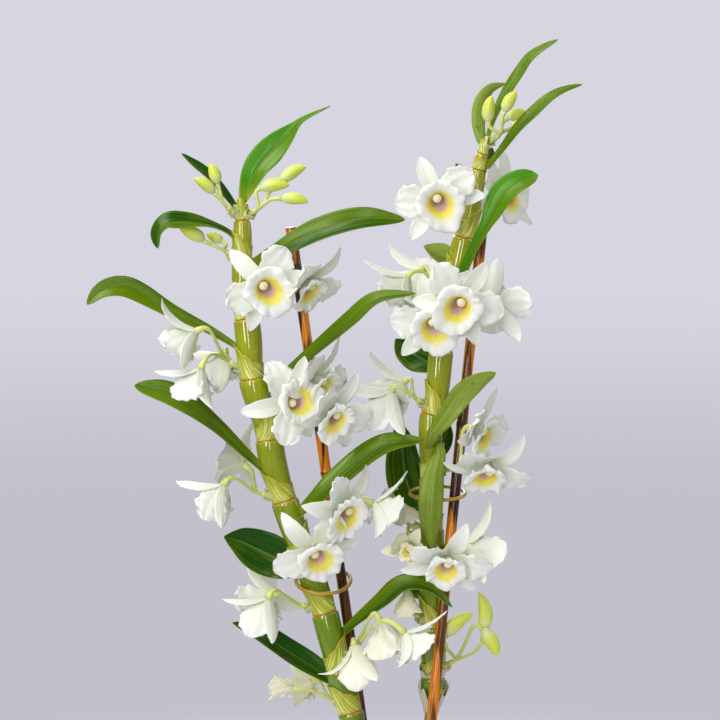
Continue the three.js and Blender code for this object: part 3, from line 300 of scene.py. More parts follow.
PETAL = {
    "length": 30, "width": 23, "turns": (75, 285), "cup": 1.2, "wave": 1.5, "behind": 0, "green": 0.0,
    "widths": [(0, 0.26), (0.12, 0.4), (0.3, 0.72), (0.5, 0.97), (0.66, 1), (0.8, 0.85), (0.91, 0.57),
               (0.975, 0.26), (1, 0.05)],
}
# What petals and sepals share: their grid, how much one differs from the next, the folds along their
# margins and the groove down their middle.
TEPAL = {
    "rows": 30, "columns": 13, "turned": 3, "leant": 3, "curl": (4, 8), "twist": 0.2, "longer": 0.03,
    "folds": np.arange(1.5, 9)[:, None, None], "fold": 0.8, "fade": -0.6, "groove": 0.45,
    "groove_width": 0.09,
}
# The lip's funnel from its throat to its rim: its radius and its distance along the lip's axis.
LIP = {
    "lean": 15, "open_at": 84, "ruffle": 1.5, "slant": 2.4, "rows": 26, "columns": 96, "throat": 0.08,
    "folds": np.arange(3, 22)[:, None], "fold": 1.25, "fade": -0.75, "flare": 0.7,
    "profile": [(0, 2.4, 0.5), (0.13, 4, 3.4), (0.3, 5.8, 7.4), (0.47, 8.4, 10.6), (0.64, 11.6, 12.6),
                (0.8, 14.4, 13.4), (0.92, 16.2, 13.2), (1, 17.2, 12.4)],
}
COLUMN = {
    "length": 10, "radius": 2.8,
    "girth": [(0, 0.75), (0.45, 0.78), (0.62, 0.7), (0.68, 1.0), (0.82, 1.12), (0.93, 0.85), (1, 0.4)],
}
STEM = {"radius": 2.0, "pedicel": 1.25, "swell": 1.5, "collar_reach": 6.5, "collar_wall": 0.35, "sunk": 2}
BUD = {
    "bow": 0.004, "lobes": 0.045, "rings": 18,
    "widths": [(-0.5, 0.26), (-0.42, 0.6), (-0.28, 0.9), (-0.08, 1), (0.12, 0.9), (0.3, 0.64), (0.42, 0.36),
               (0.5, 0.05)],
}


# ---------------------------------------------------------------- settings
def tint(code):
    """Linear colour and alpha of a screen colour such as 0x3C7222."""
    parts = [(code >> shift & 255) / 255 for shift in (16, 8, 0)]
    return tuple(p / 12.92 if p <= 0.04045 else ((p + 0.055) / 1.055) ** 2.4 for p in parts) + (1.0,)


def size(name, about, millimetres):
    return bpy.props.FloatProperty(
        name=name, description=about, default=millimetres * MM, min=0, unit="LENGTH", subtype="DISTANCE")


def colour(name, about, code):
    return bpy.props.FloatVectorProperty(
        name=name, description=about, default=tint(code), size=4, min=0, max=1, subtype="COLOR")


class DendrobiumSizes(bpy.types.PropertyGroup):
    """Thicknesses and sizes that the plant is built with."""
    leaf: size("Leaf", "Thickness of a leaf's blade", 0.9)
    petal: size("Petal", "Thickness of a petal, sepal or lip", 0.4)
    ruffle: size("Ruffle", "Height of the ruffles round a lip's rim", LIP["ruffle"])
    wave: size("Wave", "Height of the waves along a petal's margin", PETAL["wave"])
    pedicel: size("Pedicel", "Radius of the stalk behind a bloom", STEM["pedicel"])
    sheath: size("Sheath", "Thickness of the papery sheath above a node", SHEATH["thickness"])


class DendrobiumColours(bpy.types.PropertyGroup):
    """Colours of the plant, its stakes, its pot and the floor."""
    leaf: colour("Leaf", "Upper face of a light leaf", 0x587400)
    leaf_fresh: colour("Fresh leaf", "Upper face of a young leaf", 0x3C8000)
    leaf_dark: colour("Dark leaf", "Upper face of an old leaf", 0x0C4200)
    leaf_under: colour("Leaf underside", "Under face of a leaf", 0x889C38)
    cane_high: colour("Upper cane", "Skin of a cane near its tip", 0x9C9E00)
    cane_low: colour("Lower cane", "Skin of a cane near the pot", 0x5C7C00)
    sheath: colour("Sheath", "Papery sheath above a node", 0xB4B83C)
    seam: colour("Node line", "Line and torn edge at a node", 0xD9931A)
    husk: colour("Husk", "Old dry sheath", 0xC9C2B4)
    petal: colour("Petal", "Petals, sepals and lips", 0xEBECE5)
    petal_vein: colour("Petal base", "Base and veins of a petal", 0xD5DDBE)
    throat: colour("Throat", "Yellow patch inside a lip", 0xE8D838)
    # Mauve stain of the lip's throat, strongest in its depth, where it is partly painted shade; it also
    # flushes the column's foot.
    spot: colour("Spot", "Depth of a lip's throat", 0xC8A2A0)
    blush: colour("Blush", "Tips of some petals", 0xB98BB8)
    column: colour("Column", "Column and cap in the throat", 0xF4EEC4)
    stalk: colour("Stalk", "Stalks of the blooms", 0xDCDE84)
    bud: colour("Bud", "Buds", 0xC9D340)
    bamboo: colour("Bamboo", "Varnished bamboo", 0xDC7C04)
    scorch: colour("Scorch", "Scorched bands of the bamboo", 0x2E0E04)
    ring: colour("Ring", "Rings that tie the canes", 0xAE8A26)
    pot: colour("Pot", "Glaze of the pot", 0xE6E3DC)
    bark: colour("Bark", "Bark chips", 0x6B4427)
    floor: colour("Floor", "Floor", 0xE3E2EC)


# ---------------------------------------------------------------- curves and surfaces
def unit(vectors):
    """Vectors at length one."""
    vectors = np.asarray(vectors, float)
    return vectors / np.maximum(np.linalg.norm(vectors, axis=-1, keepdims=True), 1e-12)


def square_to(axis, guide):
    """The part of a guide direction that is square to an axis, at length one."""
    return unit(guide - axis * np.sum(axis * guide, axis=-1, keepdims=True))


def hermite(start, end, leaving, arriving, t):
    """Cubic between two values with given slopes: the usual four Hermite weights of t."""
    rise = (2 * t - 3) * t * t
    return (rise + 1) * start - rise * end + ((t - 2) * t + 1) * t * leaving + (t - 1) * t * t * arriving


def along(rows, keys):
    """Reads a table of (key, value, ...) at many keys: cubic pieces whose slope at a row is the rise
    between its neighbours over their distance. A table with one value a row gives a flat array."""
    rows = np.asarray(rows, float)
    knots, values = rows[:, 0], rows[:, 1:]
    before = np.maximum(np.arange(len(rows)) - 1, 0)
    after = np.minimum(np.arange(len(rows)) + 1, len(rows) - 1)
    slope = (values[after] - values[before]) / (knots[after] - knots[before])[:, None]
    keys = np.asarray(keys, float)
    i = np.clip(np.searchsorted(knots, keys, side="right") - 1, 0, len(rows) - 2)
    span = (knots[i + 1] - knots[i])[..., None]
    t = np.clip((keys - knots[i])[..., None] / span, 0, 1)
    read = hermite(values[i], values[i + 1], span * slope[i], span * slope[i + 1], t)
    return read[..., 0] if values.shape[1] == 1 else read


def midline(path, shares):
    """Points and directions at shares of the length of a curve through a path: a centripetal Catmull-Rom
    curve, whose pieces are timed by the square root of the distance between their points."""
    points = np.asarray(path, float)
    points = np.vstack([2 * points[0] - points[1], points, 2 * points[-1] - points[-2]])
    gaps = np.linalg.norm(np.diff(points, axis=0), axis=1) ** 0.5
    count = len(points) - 3
    p0, p1, p2, p3 = (points[i:i + count, None] for i in range(4))
    d0, d1, d2 = (gaps[i:i + count, None, None] for i in range(3))
    leaving = ((p1 - p0) / d0 - (p2 - p0) / (d0 + d1) + (p2 - p1) / d1) * d1
    arriving = ((p2 - p1) / d1 - (p3 - p1) / (d1 + d2) + (p3 - p2) / d2) * d1
    t = np.linspace(0, 1, 24, endpoint=False)[None, :, None]
    curve = np.vstack([hermite(p1, p2, leaving, arriving, t).reshape(-1, 3), points[-2]])
    reach = np.concatenate([[0], np.cumsum(np.linalg.norm(np.diff(curve, axis=0), axis=1))])
    course = unit(np.gradient(curve, reach, axis=0))
    read = [np.column_stack([np.interp(np.asarray(shares) * reach[-1], reach, column) for column in table.T])
            for table in (curve, course)]
    return read[0], unit(read[1])


def smoothstep(low, high, value):
    """0 below low, 1 above high, and 3t² - 2t³ between."""
    t = np.clip((value - low) / (high - low), 0, 1)
    return t * t * (3 - 2 * t)


def bell(distance, width):
    """A bump of height one: e to the minus square of a distance over a width."""
    return np.exp(-(distance / width) ** 2)


def circle(count):
    """Even angles round a whole turn, without its last."""
    return np.linspace(0, 2 * math.pi, count, endpoint=False)


def swung(first, second, angle):
    """A direction turned by an angle from the first axis towards the second."""
    return first * np.cos(angle) + second * np.sin(angle)


def globe(rows, columns):
    """Points of a ball of radius one, in rows between its poles."""
    lean, swing = np.meshgrid(
        np.linspace(-math.pi / 2, math.pi / 2, rows + 2)[1:-1], circle(columns), indexing="ij")
    return np.stack([np.cos(lean) * np.cos(swing), np.cos(lean) * np.sin(swing), np.sin(lean)], axis=-1)


def rotation(axis, angle):
    """Matrix of a turn round X (0), Y (1) or Z (2)."""
    matrix = np.eye(3)
    i, j = (axis + 1) % 3, (axis + 2) % 3
    matrix[i, i] = matrix[j, j] = math.cos(angle)
    matrix[j, i] = math.sin(angle)
    matrix[i, j] = -matrix[j, i]
    return matrix


def link(name, data):
    """A new object in the scene."""
    made = bpy.data.objects.new(name, data)
    bpy.context.scene.collection.objects.link(made)
    return made


class Skin:
    """Gathers grids of points in millimetres, their faces, pattern places, marks and finishes into one
    mesh."""

    def __init__(self, *marks):
        self.points, self.corners, self.places, self.finishes = [], [], [], []
        self.marks = {name: [] for name in marks}
        self.count = 0

    def add(self, points, marks):
        """Keeps rows of points with their marks, and returns their numbers in the same rows."""
        shape = points.shape[:-1]
        self.points.append(points.reshape(-1, 3))
        for name, kept in self.marks.items():
            kept.append(np.broadcast_to(marks.get(name, 0.0), shape).ravel())
        first, self.count = self.count, self.count + int(np.prod(shape))
        return np.arange(first, self.count).reshape(shape)

    def cover(self, corners, places, finish):
        """Keeps faces, each a row of corner numbers with a pattern place for each corner."""
        self.corners.append(corners.reshape(-1, corners.shape[-1]))
        self.places.append(places.reshape(-1, 2))
        self.finishes.append(np.full(len(self.corners[-1]), finish))

    def weave(self, numbers, finish, wrap=False, flip=False):
        """Quads between neighbouring rows and columns. With wrap, the last column joins the first. The
        pattern places run evenly from 0 to 1 across and along."""
        if wrap:
            numbers = np.concatenate([numbers, numbers[:, :1]], axis=1)
        tall, wide = numbers.shape
        places = np.stack(np.meshgrid(np.linspace(0, 1, wide), np.linspace(0, 1, tall)), axis=-1)
        order = [(0, 0), (0, 1), (1, 1), (1, 0)][::-1 if flip else 1]
        corners, spots = (np.stack([grid[r:r + tall - 1, c:c + wide - 1] for r, c in order], axis=axis)
                          for grid, axis in ((numbers, -1), (places, -2)))
        self.cover(corners, spots, finish)

    def cap(self, row, pole, finish, marks, top):
        """Triangles from a closed row of points to a pole, at the top or bottom of the pattern."""
        tip = self.add(np.asarray(pole, float)[None], marks)[0]
        after = np.roll(row, -1)
        pair = (row, after) if top else (after, row)
        across = np.linspace(0, 1, len(row) + 1)
        places = np.column_stack([across, np.full(len(across), float(top))])
        self.cover(np.stack([np.full(len(row), tip), *pair], axis=-1),
                   np.stack([places[:-1], places[:-1], places[1:]], axis=-2), finish)

    def barrel(self, rings, poles, finish, marks=None):
        """A closed body: rows of points wrapped round, and a pole beyond the first and the last row."""
        marks = {name: np.broadcast_to(value, rings.shape[:-1]) for name, value in (marks or {}).items()}
        numbers = self.add(rings, marks)
        self.weave(numbers, finish, wrap=True)
        for row, pole in zip((0, -1), poles):
            ends = {name: value[row, 0] for name, value in marks.items()}
            self.cap(numbers[row], pole, finish, ends, row == -1)

    def tube(self, points, radii, columns, finish, marks=None, lobes=0.0, dome=0.3):
        """A closed tube along a path: circles square to the path, turned so that they follow the normal
        of the plane that the path lies nearest to. With lobes, each circle swells three times round.
        Each end has a pole that stands off by a share of the radius."""
        course = unit(np.gradient(points, axis=0))
        side = square_to(course, np.linalg.svd(points - points.mean(axis=0))[2][2])
        angle = circle(columns)[:, None]
        reach = (1 + lobes * np.cos(3 * angle)) * radii[:, None, None]
        rings = points[:, None] + reach * swung(side[:, None], np.cross(course, side)[:, None], angle)
        poles = [points[end] + course[end] * radii[end] * dome * way for end, way in ((0, -1), (-1, 1))]
        marks = {name: np.reshape(value, (-1, 1)) for name, value in (marks or {}).items()}
        self.barrel(rings, poles, finish, marks)

    def shell(self, grid, thickness, finish, marks, back=None, wrap=False):
        """A closed wall of even thickness on both sides of a grid. Its outer face lies along the cross
        product of the column and row directions; marks are for that face, and back changes them for the
        other."""
        if wrap:
            across = (np.roll(grid, -1, axis=1) - np.roll(grid, 1, axis=1)) / 2
        else:
            across = np.gradient(grid, axis=1)
        normals = unit(np.cross(across, np.gradient(grid, axis=0)))
        half = np.broadcast_to(np.asarray(thickness) / 2, grid.shape[:-1])[..., None]
        outer = self.add(grid + normals * half, marks)
        inner = self.add(grid - normals * half, {**marks, **(back or {})})
        self.weave(outer, finish, wrap)
        self.weave(inner, finish, wrap, flip=True)
        if wrap:
            for row, step in ((0, 1), (-1, -1)):
                self.rim(*(np.append(a[row], a[row, 0])[::step] for a in (outer, inner)), finish)
        else:
            border = [np.concatenate([a[0, :-1], a[:-1, -1], a[-1, :0:-1], a[:, 0][::-1]])
                      for a in (outer, inner)]
            self.rim(*border, finish)

    def rim(self, outer, inner, finish):
        """Quads that join the borders of a shell's two faces."""
        corners = np.stack([outer[1:], outer[:-1], inner[:-1], inner[1:]], axis=-1)
        self.cover(corners, np.full(corners.shape + (2,), 0.5), finish)

    def mesh(self, name, finishes, sharp=None):
        """The mesh, with its finishes, marks and pattern places. Edges over the sharp angle stay
        crisp."""
        mesh = bpy.data.meshes.new(name)
        points = np.concatenate(self.points) * MM
        mesh.vertices.add(len(points))
        mesh.vertices.foreach_set("co", points.ravel())
        sizes = np.concatenate([np.full(len(c), c.shape[1]) for c in self.corners])
        corners = np.concatenate([c.ravel() for c in self.corners])
        mesh.loops.add(len(corners))
        mesh.loops.foreach_set("vertex_index", corners)
        mesh.polygons.add(len(sizes))
        mesh.polygons.foreach_set("loop_start", np.concatenate([[0], np.cumsum(sizes)[:-1]]))
        mesh.polygons.foreach_set("material_index", np.concatenate(self.finishes))
        mesh.polygons.foreach_set("use_smooth", np.ones(len(sizes), bool))
        mesh.uv_layers.new(name="lie").data.foreach_set("uv", np.concatenate(self.places).ravel())
        for mark, values in self.marks.items():
            mesh.attributes.new(mark, "FLOAT", "POINT").data.foreach_set("value", np.concatenate(values))
        mesh.update(calc_edges=True)
        if mesh.validate():
            raise RuntimeError(f"{name} has faces that don't hold together")
        if sharp:
            mesh.set_sharp_from_angle(angle=math.radians(sharp))
        for finish in finishes:
            mesh.materials.append(finish)
        return mesh

    def piece(self, name, finishes, node, sharp=None):
        """Makes the object, hangs it on the body and hides the part of model.glb that it stands for."""
        made = link(name, self.mesh(name, finishes, sharp))
        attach(made, BODY)
        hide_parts(node)


# ---------------------------------------------------------------- finishes
class Paint:
    """A socket of a finish. Arithmetic on it adds Math nodes."""

    def __init__(self, finish, socket):
        self.finish, self.socket = finish, socket

    def maths(self, operation, *others):
        return self.finish.node("ShaderNodeMath", {"operation": operation}, dict(enumerate((self, *others))))

    def __add__(self, other):
        return self.maths("ADD", other)

    def __sub__(self, other):
        return self.maths("SUBTRACT", other)

    def __mul__(self, other):
        return self.maths("MULTIPLY", other)

    def __abs__(self):
        return self.maths("ABSOLUTE")

    def wave(self, count):
        """A sine between 0 and 1, repeated a number of times while the socket grows by one."""
        return (self * (2 * math.pi * count)).maths("SINE") * 0.5 + 0.5


class Finish:
    """A material whose principled shader is fed by the nodes that its methods add. Its colour is built
    up from a ground by laying shades over it."""

    def __init__(self, name, ground, roughness=0.5, **constants):
        self.material = bpy.data.materials.new(name)
        self.material.use_nodes = True
        self.tree = self.material.node_tree
        self.shader = self.tree.nodes["Principled BSDF"]
        self.colour = ground
        for socket, value in {"roughness": roughness, **constants}.items():
            self.shader.inputs[socket.replace("_", " ").title().replace("Ior", "IOR")].default_value = value

    def node(self, kind, settings, values, output=0):
        """Adds any node: its settings first, then the values or links of its sockets."""
        made = self.tree.nodes.new(kind)
        for setting, value in settings.items():
            setattr(made, setting, value)
        for socket, value in values.items():
            if isinstance(value, Paint):
                self.tree.links.new(value.socket, made.inputs[socket])
            else:
                made.inputs[socket].default_value = value
        return Paint(self, made.outputs[output])

    def feed(self, socket, value):
        self.tree.links.new(value.socket, self.shader.inputs[socket])

    def mark(self, name):
        """One of the piece's own marks, a number at each point."""
        return self.node("ShaderNodeAttribute", {"attribute_name": name}, {}, "Fac")

    def place(self, axis):
        """The pattern place across (X) or along (Y) a surface, from 0 to 1."""
        spot = self.node("ShaderNodeUVMap", {"uv_map": "lie"}, {})
        return self.node("ShaderNodeSeparateXYZ", {}, {0: spot}, axis)

    def spot(self, stretch=(1, 1, 1)):
        """The place in the object's own space, in metres, times a stretch along each axis."""
        spot = self.node("ShaderNodeTexCoord", {}, {}, "Object")
        return self.node("ShaderNodeVectorMath", {"operation": "MULTIPLY"}, {0: spot, 1: stretch})

    def height(self):
        return self.node("ShaderNodeSeparateXYZ", {}, {0: self.spot()}, "Z")

    def noise(self, scale, detail=2, stretch=(1, 1, 1), vector=None):
        return self.node("ShaderNodeTexNoise", {}, {
            "Vector": vector or self.spot(stretch), "Scale": scale, "Detail": detail})

    def streaks(self, detail, *ways):
        """Noise over a place made up of three numbers."""
        lie = self.node("ShaderNodeCombineXYZ", {}, dict(enumerate(ways)))
        return self.noise(1, detail, vector=lie)

    def fade(self, value, low, high):
        """0 where a value is at low, 1 at high, smooth between."""
        return self.node("ShaderNodeMapRange", {"interpolation_type": "SMOOTHSTEP"}, {
            "Value": value, "From Min": low, "From Max": high})

    def blend(self, share, first, second):
        """A colour between two others, by a share that is held between 0 and 1."""
        return self.node("ShaderNodeMix", {"data_type": "RGBA"}, {0: share, 6: first, 7: second}, 2)

    def layers(self, *layers):
        """Lays shades over the colour so far, each by its share, and returns the colour."""
        for share, shade in layers:
            self.colour = self.blend(share, self.colour, shade)
        return self.colour

    def done(self, height, strength, distance, roughness=None):
        """Feeds the colour so far, a roughness that varies and the bump of a height; returns the
        material."""
        self.feed("Base Color", self.colour)
        if roughness:
            self.feed("Roughness", roughness)
        self.feed("Normal", self.node("ShaderNodeBump", {}, {
            "Height": height, "Strength": strength, "Distance": distance}))
        return self.material


def leaf_finish(shades):
    """Leaf green by each leaf's tone, from old to young, with long streaks along the blade, one half
    painted lighter and the other darker as painted light and shade, a groove at the midrib with painted
    shade along it, a thin pale margin, and a blotched paler underside."""
    finish = Finish("leaf green", shades.leaf_dark, specular_ior_level=0.35, specular_tint=(0.8, 1, 0.5, 1))
    across, up, tone, under = finish.place("X"), finish.place("Y"), finish.mark("tone"), finish.mark("under")
    mottle, blotch = finish.noise(60, 3), finish.noise(260)
    streak = finish.fade(finish.streaks(3, across * 12, up * 1.4, tone * 50), 0.36, 0.66)
    # half paints one side of the folded blade lighter and the other darker: painted light and shade.
    half, middle = finish.fade(across, 0.47, 0.53), abs(across - 0.5)
    # The dark band along the midrib groove is painted shade.
    groove_shade, midrib = finish.fade(middle, 0.13, 0.02), finish.fade(middle, 0.03, 0.0)
    margin = finish.fade(middle, 0.478, 0.496)
    share = tone + (streak - 0.5) * 0.28 + (mottle - 0.5) * 0.24 + (half - 0.5) * 0.22
    lower = finish.blend(streak * 0.3 + mottle * 0.3, shades.leaf_under, shades.leaf_dark)
    lower = finish.blend(midrib * 0.4 + margin * 0.3, lower, shades.sheath)
    lower = finish.blend(finish.fade(blotch, 0.6, 0.74) * 0.5, lower, shades.leaf_dark)
    finish.layers(
        (finish.fade(share, -0.05, 0.6), shades.leaf),
        (finish.fade(share, 0.66, 1.0), shades.leaf_fresh),
        (groove_shade * 0.4, shades.leaf_dark),
        (midrib * 0.5 + margin * 0.5, shades.leaf_under),
        (finish.fade(up, 0.14, 0.0) * 0.5, shades.sheath),
        (under, lower))
    return finish.done(streak * 0.2 + midrib * -1.2, 0.4, 0.0005, under * 0.2 + streak * 0.16 + 0.2)


def cane_finish(shades):
    """Glossy cane skin that turns from yellow-green above to green below, ribbed and streaked along,
    with an orange broken line at each node."""
    finish = Finish("cane skin", shades.cane_low, coat_weight=0.8, coat_roughness=0.06, coat_ior=1.8,
                    specular_ior_level=0.1, specular_tint=(0.95, 1, 0.4, 1))
    streak, line = finish.noise(420, 2, (1, 1, 0.045)), finish.noise(900, 2, (1, 1, 0.02))
    patch, seam = finish.noise(45, 3), finish.mark("seam")
    finish.layers(
        (finish.fade(finish.height() + (patch - 0.5) * 0.2, 0.13, 0.5), shades.cane_high),
        (finish.fade(streak, 0.55, 0.75) * 0.2, shades.sheath),
        (finish.fade(patch, 0.5, 0.8) * 0.4, shades.cane_low),
        (finish.fade(line, 0.56, 0.7) * 0.3, shades.leaf_dark),
        (seam * finish.fade(finish.noise(300, 1), 0.4, 0.55), shades.seam))
    return finish.done(streak * 1.6 + line * 0.4 + seam * -0.6, 0.55, 0.0008, streak * 0.2 + 0.14)


def sheath_finish(shades):
    """Papery sheath: cream pleats of uneven width on olive, which spread like a fan from its tall side
    to its foot, a torn brown-orange edge, and dry ones grey-white."""
    finish = Finish("papery sheath", shades.sheath, 0.38, specular_ior_level=0.4)
    up = finish.place("Y")
    fine = finish.noise(750, 2, (1, 1, 0.035))
    fan = (finish.place("X") - finish.mark("apex")) * (up * 0.9 + 1.0) * 40
    pleat = finish.fade(finish.streaks(1, fan, up * 0.5, finish.height() * 20), 0.47, 0.55)
    pleat = pleat * finish.fade(up, 1.1, 0.5)
    edge = finish.fade(up, 0.93, 0.99) * finish.fade(finish.noise(90), 0.42, 0.6)
    foot = finish.fade(up, 0.07, 0.0) * finish.fade(finish.noise(280, 1), 0.38, 0.56)
    finish.layers(
        (finish.fade(up, 0.0, 0.9) * 0.4 + 0.5, shades.cane_high),
        (finish.fade(fine, 0.52, 0.68) * 0.55, shades.cane_low),
        (pleat * 0.9, shades.stalk),
        (finish.mark("dry") * (fine * -0.5 + 1.2), shades.husk),
        (edge * 0.75 + foot, shades.seam))
    return finish.done(pleat * 0.9 + fine * 0.6, 0.55, 0.0006)


def petal_finish(shades):
    """Soft white with a greenish base and faint veins, greyer on the sepals and creamier on a young
    bloom; marks bring the yellow throat, the mauve stain in its depth, which is partly painted shade of
    the throat's recess, and the purple tips."""
    finish = Finish("petal", shades.petal, subsurface_weight=0.18, subsurface_radius=(0.9, 1.0, 0.7),
                    subsurface_scale=0.0015, sheen_weight=0.15, sheen_roughness=0.4)
    wander = finish.noise(120)
    vein = (finish.place("X") + wander * (1 / (11 * math.pi))).wave(11)
    yolk = finish.mark("yolk") + (finish.noise(330) - 0.5) * 0.5
    finish.layers(
        (finish.mark("base") * 0.8 + vein * 0.14 + (wander - 0.5) * 0.25 + finish.mark("green") * 0.22,
         shades.petal_vein),
        (finish.mark("young") * 0.6, shades.column),
        (finish.mark("blush") * finish.fade(wander, 0.35, 0.6), shades.blush),
        (finish.fade(yolk, 0.1, 0.95), shades.throat),
        # Mauve stain in the throat's depth, partly painted shade.
        (finish.mark("throat_stain_and_shade"), shades.spot))
    return finish.done(vein * 0.7 + wander * 0.5, 0.22, 0.0004, wander * 0.2 + 0.42)


def stalk_finish(shades):
    """Pale yellow-green stalk, greener at its foot, with a papery pink-white collar."""
    finish = Finish("stalk", shades.stalk, 0.4, subsurface_weight=0.08, subsurface_radius=(0.8, 1.0, 0.4),
                    subsurface_scale=0.001)
    mottle = finish.noise(220)
    finish.layers(
        (finish.mark("green") + (mottle - 0.5) * 0.5, shades.cane_low), (finish.mark("dry"), shades.husk))
    return finish.done(mottle, 0.2, 0.0003)


def bud_finish(shades):
    """Yellow-green bud, paler towards its stalk, with faint lengthwise ribs."""
    finish = Finish("bud", shades.bud, 0.42, subsurface_weight=0.12, subsurface_radius=(0.8, 1.0, 0.4),
                    subsurface_scale=0.0015)
    rib, mottle = finish.place("X").wave(12), finish.noise(150)
    pale = finish.fade(finish.place("Y"), 0.55, 0.0)
    finish.layers((pale * 0.55 + rib * 0.12 + (mottle - 0.5) * 0.3, shades.petal_vein))
    return finish.done(rib * 0.5 + mottle * 0.5, 0.2, 0.0004)


def column_finish(shades):
    """Cream column with a faintly flushed foot."""
    finish = Finish("column", shades.column, 0.4)
    mottle = finish.noise(400, 1)
    finish.layers((finish.fade(finish.place("Y"), 0.75, 0.2) * 0.8 + mottle * 0.15, shades.spot))
    return finish.done(mottle, 0.15, 0.0003)


def bamboo_finish(shades, name, scorched):
    """Varnished bamboo: amber with lengthwise fibres, dark where it is scorched between pairs of
    heights, with smoky edges and streaks, and a dark line at its node."""
    finish = Finish(f"varnished bamboo {name}", shades.bamboo, 0.25, coat_weight=0.8, coat_roughness=0.08,
                    specular_ior_level=0.2, specular_tint=(1, 0.75, 0.4, 1))
    fibre, side = finish.noise(500, 3, (1, 1, 0.02)), finish.noise(260, 1, (1, 1, 0.03))
    height = finish.height() + (side - 0.5) * 0.05 + (finish.noise(60) - 0.5) * 0.02
    scorch, smoky = finish.fade(side, 0.52, 0.62) * 0.85, STAKE["smoky"] * MM
    for low, high in np.array(scorched) * MM:
        band = (finish.fade(height, low - smoky, low + smoky)
                * finish.fade(height, high + smoky, high - smoky))
        scorch = scorch + band * (fibre * -0.5 + 1.15)
    finish.layers(
        (finish.fade(fibre, 0.4, 0.7) * 0.4, shades.seam),
        (scorch, shades.scorch),
        (finish.mark("seam"), shades.scorch))
    return finish.done(side * 1.5 + fibre, 0.3, 0.0006)


def ring_finish(shades):
    """Glossy tan ring with a darker worn mottle."""
    finish = Finish("tie ring", shades.ring, coat_weight=0.4, coat_roughness=0.1,
                    specular_tint=(1, 0.85, 0.5, 1))
    mottle = finish.noise(160, 3)
    finish.layers((finish.fade(mottle, 0.4, 0.75) * 0.3, shades.scorch))
    return finish.done(mottle, 0.15, 0.0003, mottle * 0.25 + 0.15)


def pot_finish(shades):
    """Satin white glaze with fine specks, faint throwing rings, and a bare darker foot."""
    finish = Finish("pot glaze", shades.pot, coat_weight=0.3, coat_roughness=0.12)
    cloud, speck, height = finish.noise(30, 3), finish.noise(900, 1), finish.height()
    ring = (height * (2 * math.pi / POT["thrown"] / MM) + cloud * 2.0).maths("SINE")
    finish.layers(
        (finish.fade(speck, 0.66, 0.74) * 0.5 + (cloud - 0.5) * 0.12, shades.husk),
        (finish.fade(height, 0.006, 0.002) * 0.7, shades.husk))
    return finish.done(ring * 0.3 + speck * 0.2, 0.15, 0.0004, cloud * 0.2 + 0.18)


def bark_finish(shades):
    """Damp bark: each chip in its own brown, with grain and darker crevices."""
    finish = Finish("bark", shades.bark, 0.85)
    grain, coarse = finish.noise(700, 3, (1, 0.25, 1)), finish.noise(140, 4)
    finish.layers(
        (finish.mark("tone"), shades.scorch),
        (finish.fade(grain, 0.5, 0.75) * 0.45, shades.ring),
        (finish.fade(coarse, 0.5, 0.7) * 0.6, shades.scorch))
    return finish.done(grain * 0.5 + coarse, 0.8, 0.0012)


def floor_finish(shades):
    """Matt pale floor that thins out to nothing with distance, so that it has no edge."""
    finish = Finish("floor", shades.floor, 0.9)
    cloudy = tuple(FLOOR["cloudy"] * part for part in shades.floor[:3]) + (1.0,)
    finish.feed("Base Color", finish.layers((finish.noise(3) * 0.4, cloudy)))
    flat = finish.spot((1, 1, 0))
    reach = finish.node("ShaderNodeVectorMath", {"operation": "LENGTH"}, {0: flat}, "Value")
    mixed = finish.node("ShaderNodeMixShader", {}, {
        0: finish.fade(reach, *FLOOR["clears"]), 1: Paint(finish, finish.shader.outputs[0]),
        2: finish.node("ShaderNodeBsdfTransparent", {}, {})})
    finish.tree.links.new(mixed.socket, finish.tree.nodes["Material Output"].inputs["Surface"])
    return finish.material


def backdrop_finish():
    """Even pale glow behind the plant, a little darker low down, where shade is painted into the glow."""
    # The glow is darker low down: a painted shade.
    low = tuple(BACKDROP["dim"] * part for part in BACKDROP["colour"])
    finish = Finish("backdrop", (*low, 1), 1.0, specular_ior_level=0.0, emission_strength=1.0,
                    base_color=(0, 0, 0, 1))
    finish.feed("Emission Color", finish.layers(
        (finish.fade(finish.height(), *BACKDROP["rises"]), (*BACKDROP["colour"], 1))))
    return finish.material


# ---------------------------------------------------------------- pot, bark, canes and what ties them
def revolve(skin, profile, columns, finish, marks=None):
    """A closed body turned round the upright axis: a profile of (radius, height) from the bottom pole to
    the top pole, at even angles. The first and last rows are poles."""
    profile, angle = np.asarray(profile, float), circle(columns)
    radius, height = profile[1:-1, :1], profile[1:-1, 1:]
    rings = np.stack(np.broadcast_arrays(radius * np.cos(angle), radius * np.sin(angle), height), axis=-1)
    skin.barrel(rings, [(0, 0, profile[0, 1]), (0, 0, profile[-1, 1])], finish, marks)


def arc(centre, radius, start, end, count=6):
    """Points of an arc in a profile, by its centre, radius and the angles of its ends in degrees."""
    angle = np.radians(np.linspace(start, end, count))
    return [(centre[0] + radius * math.cos(a), centre[1] + radius * math.sin(a)) for a in angle]


def pot_inside(height):
    """Radius of the pot's inside: straight from the floor to the rim."""
    top = POT["top"] - POT["rim"] / 3 - POT["wall"]
    foot = POT["foot"] - POT["wall"]
    return foot + (top - foot) * (height - POT["floor"]) / (POT["height"] - POT["bead"] - POT["floor"])


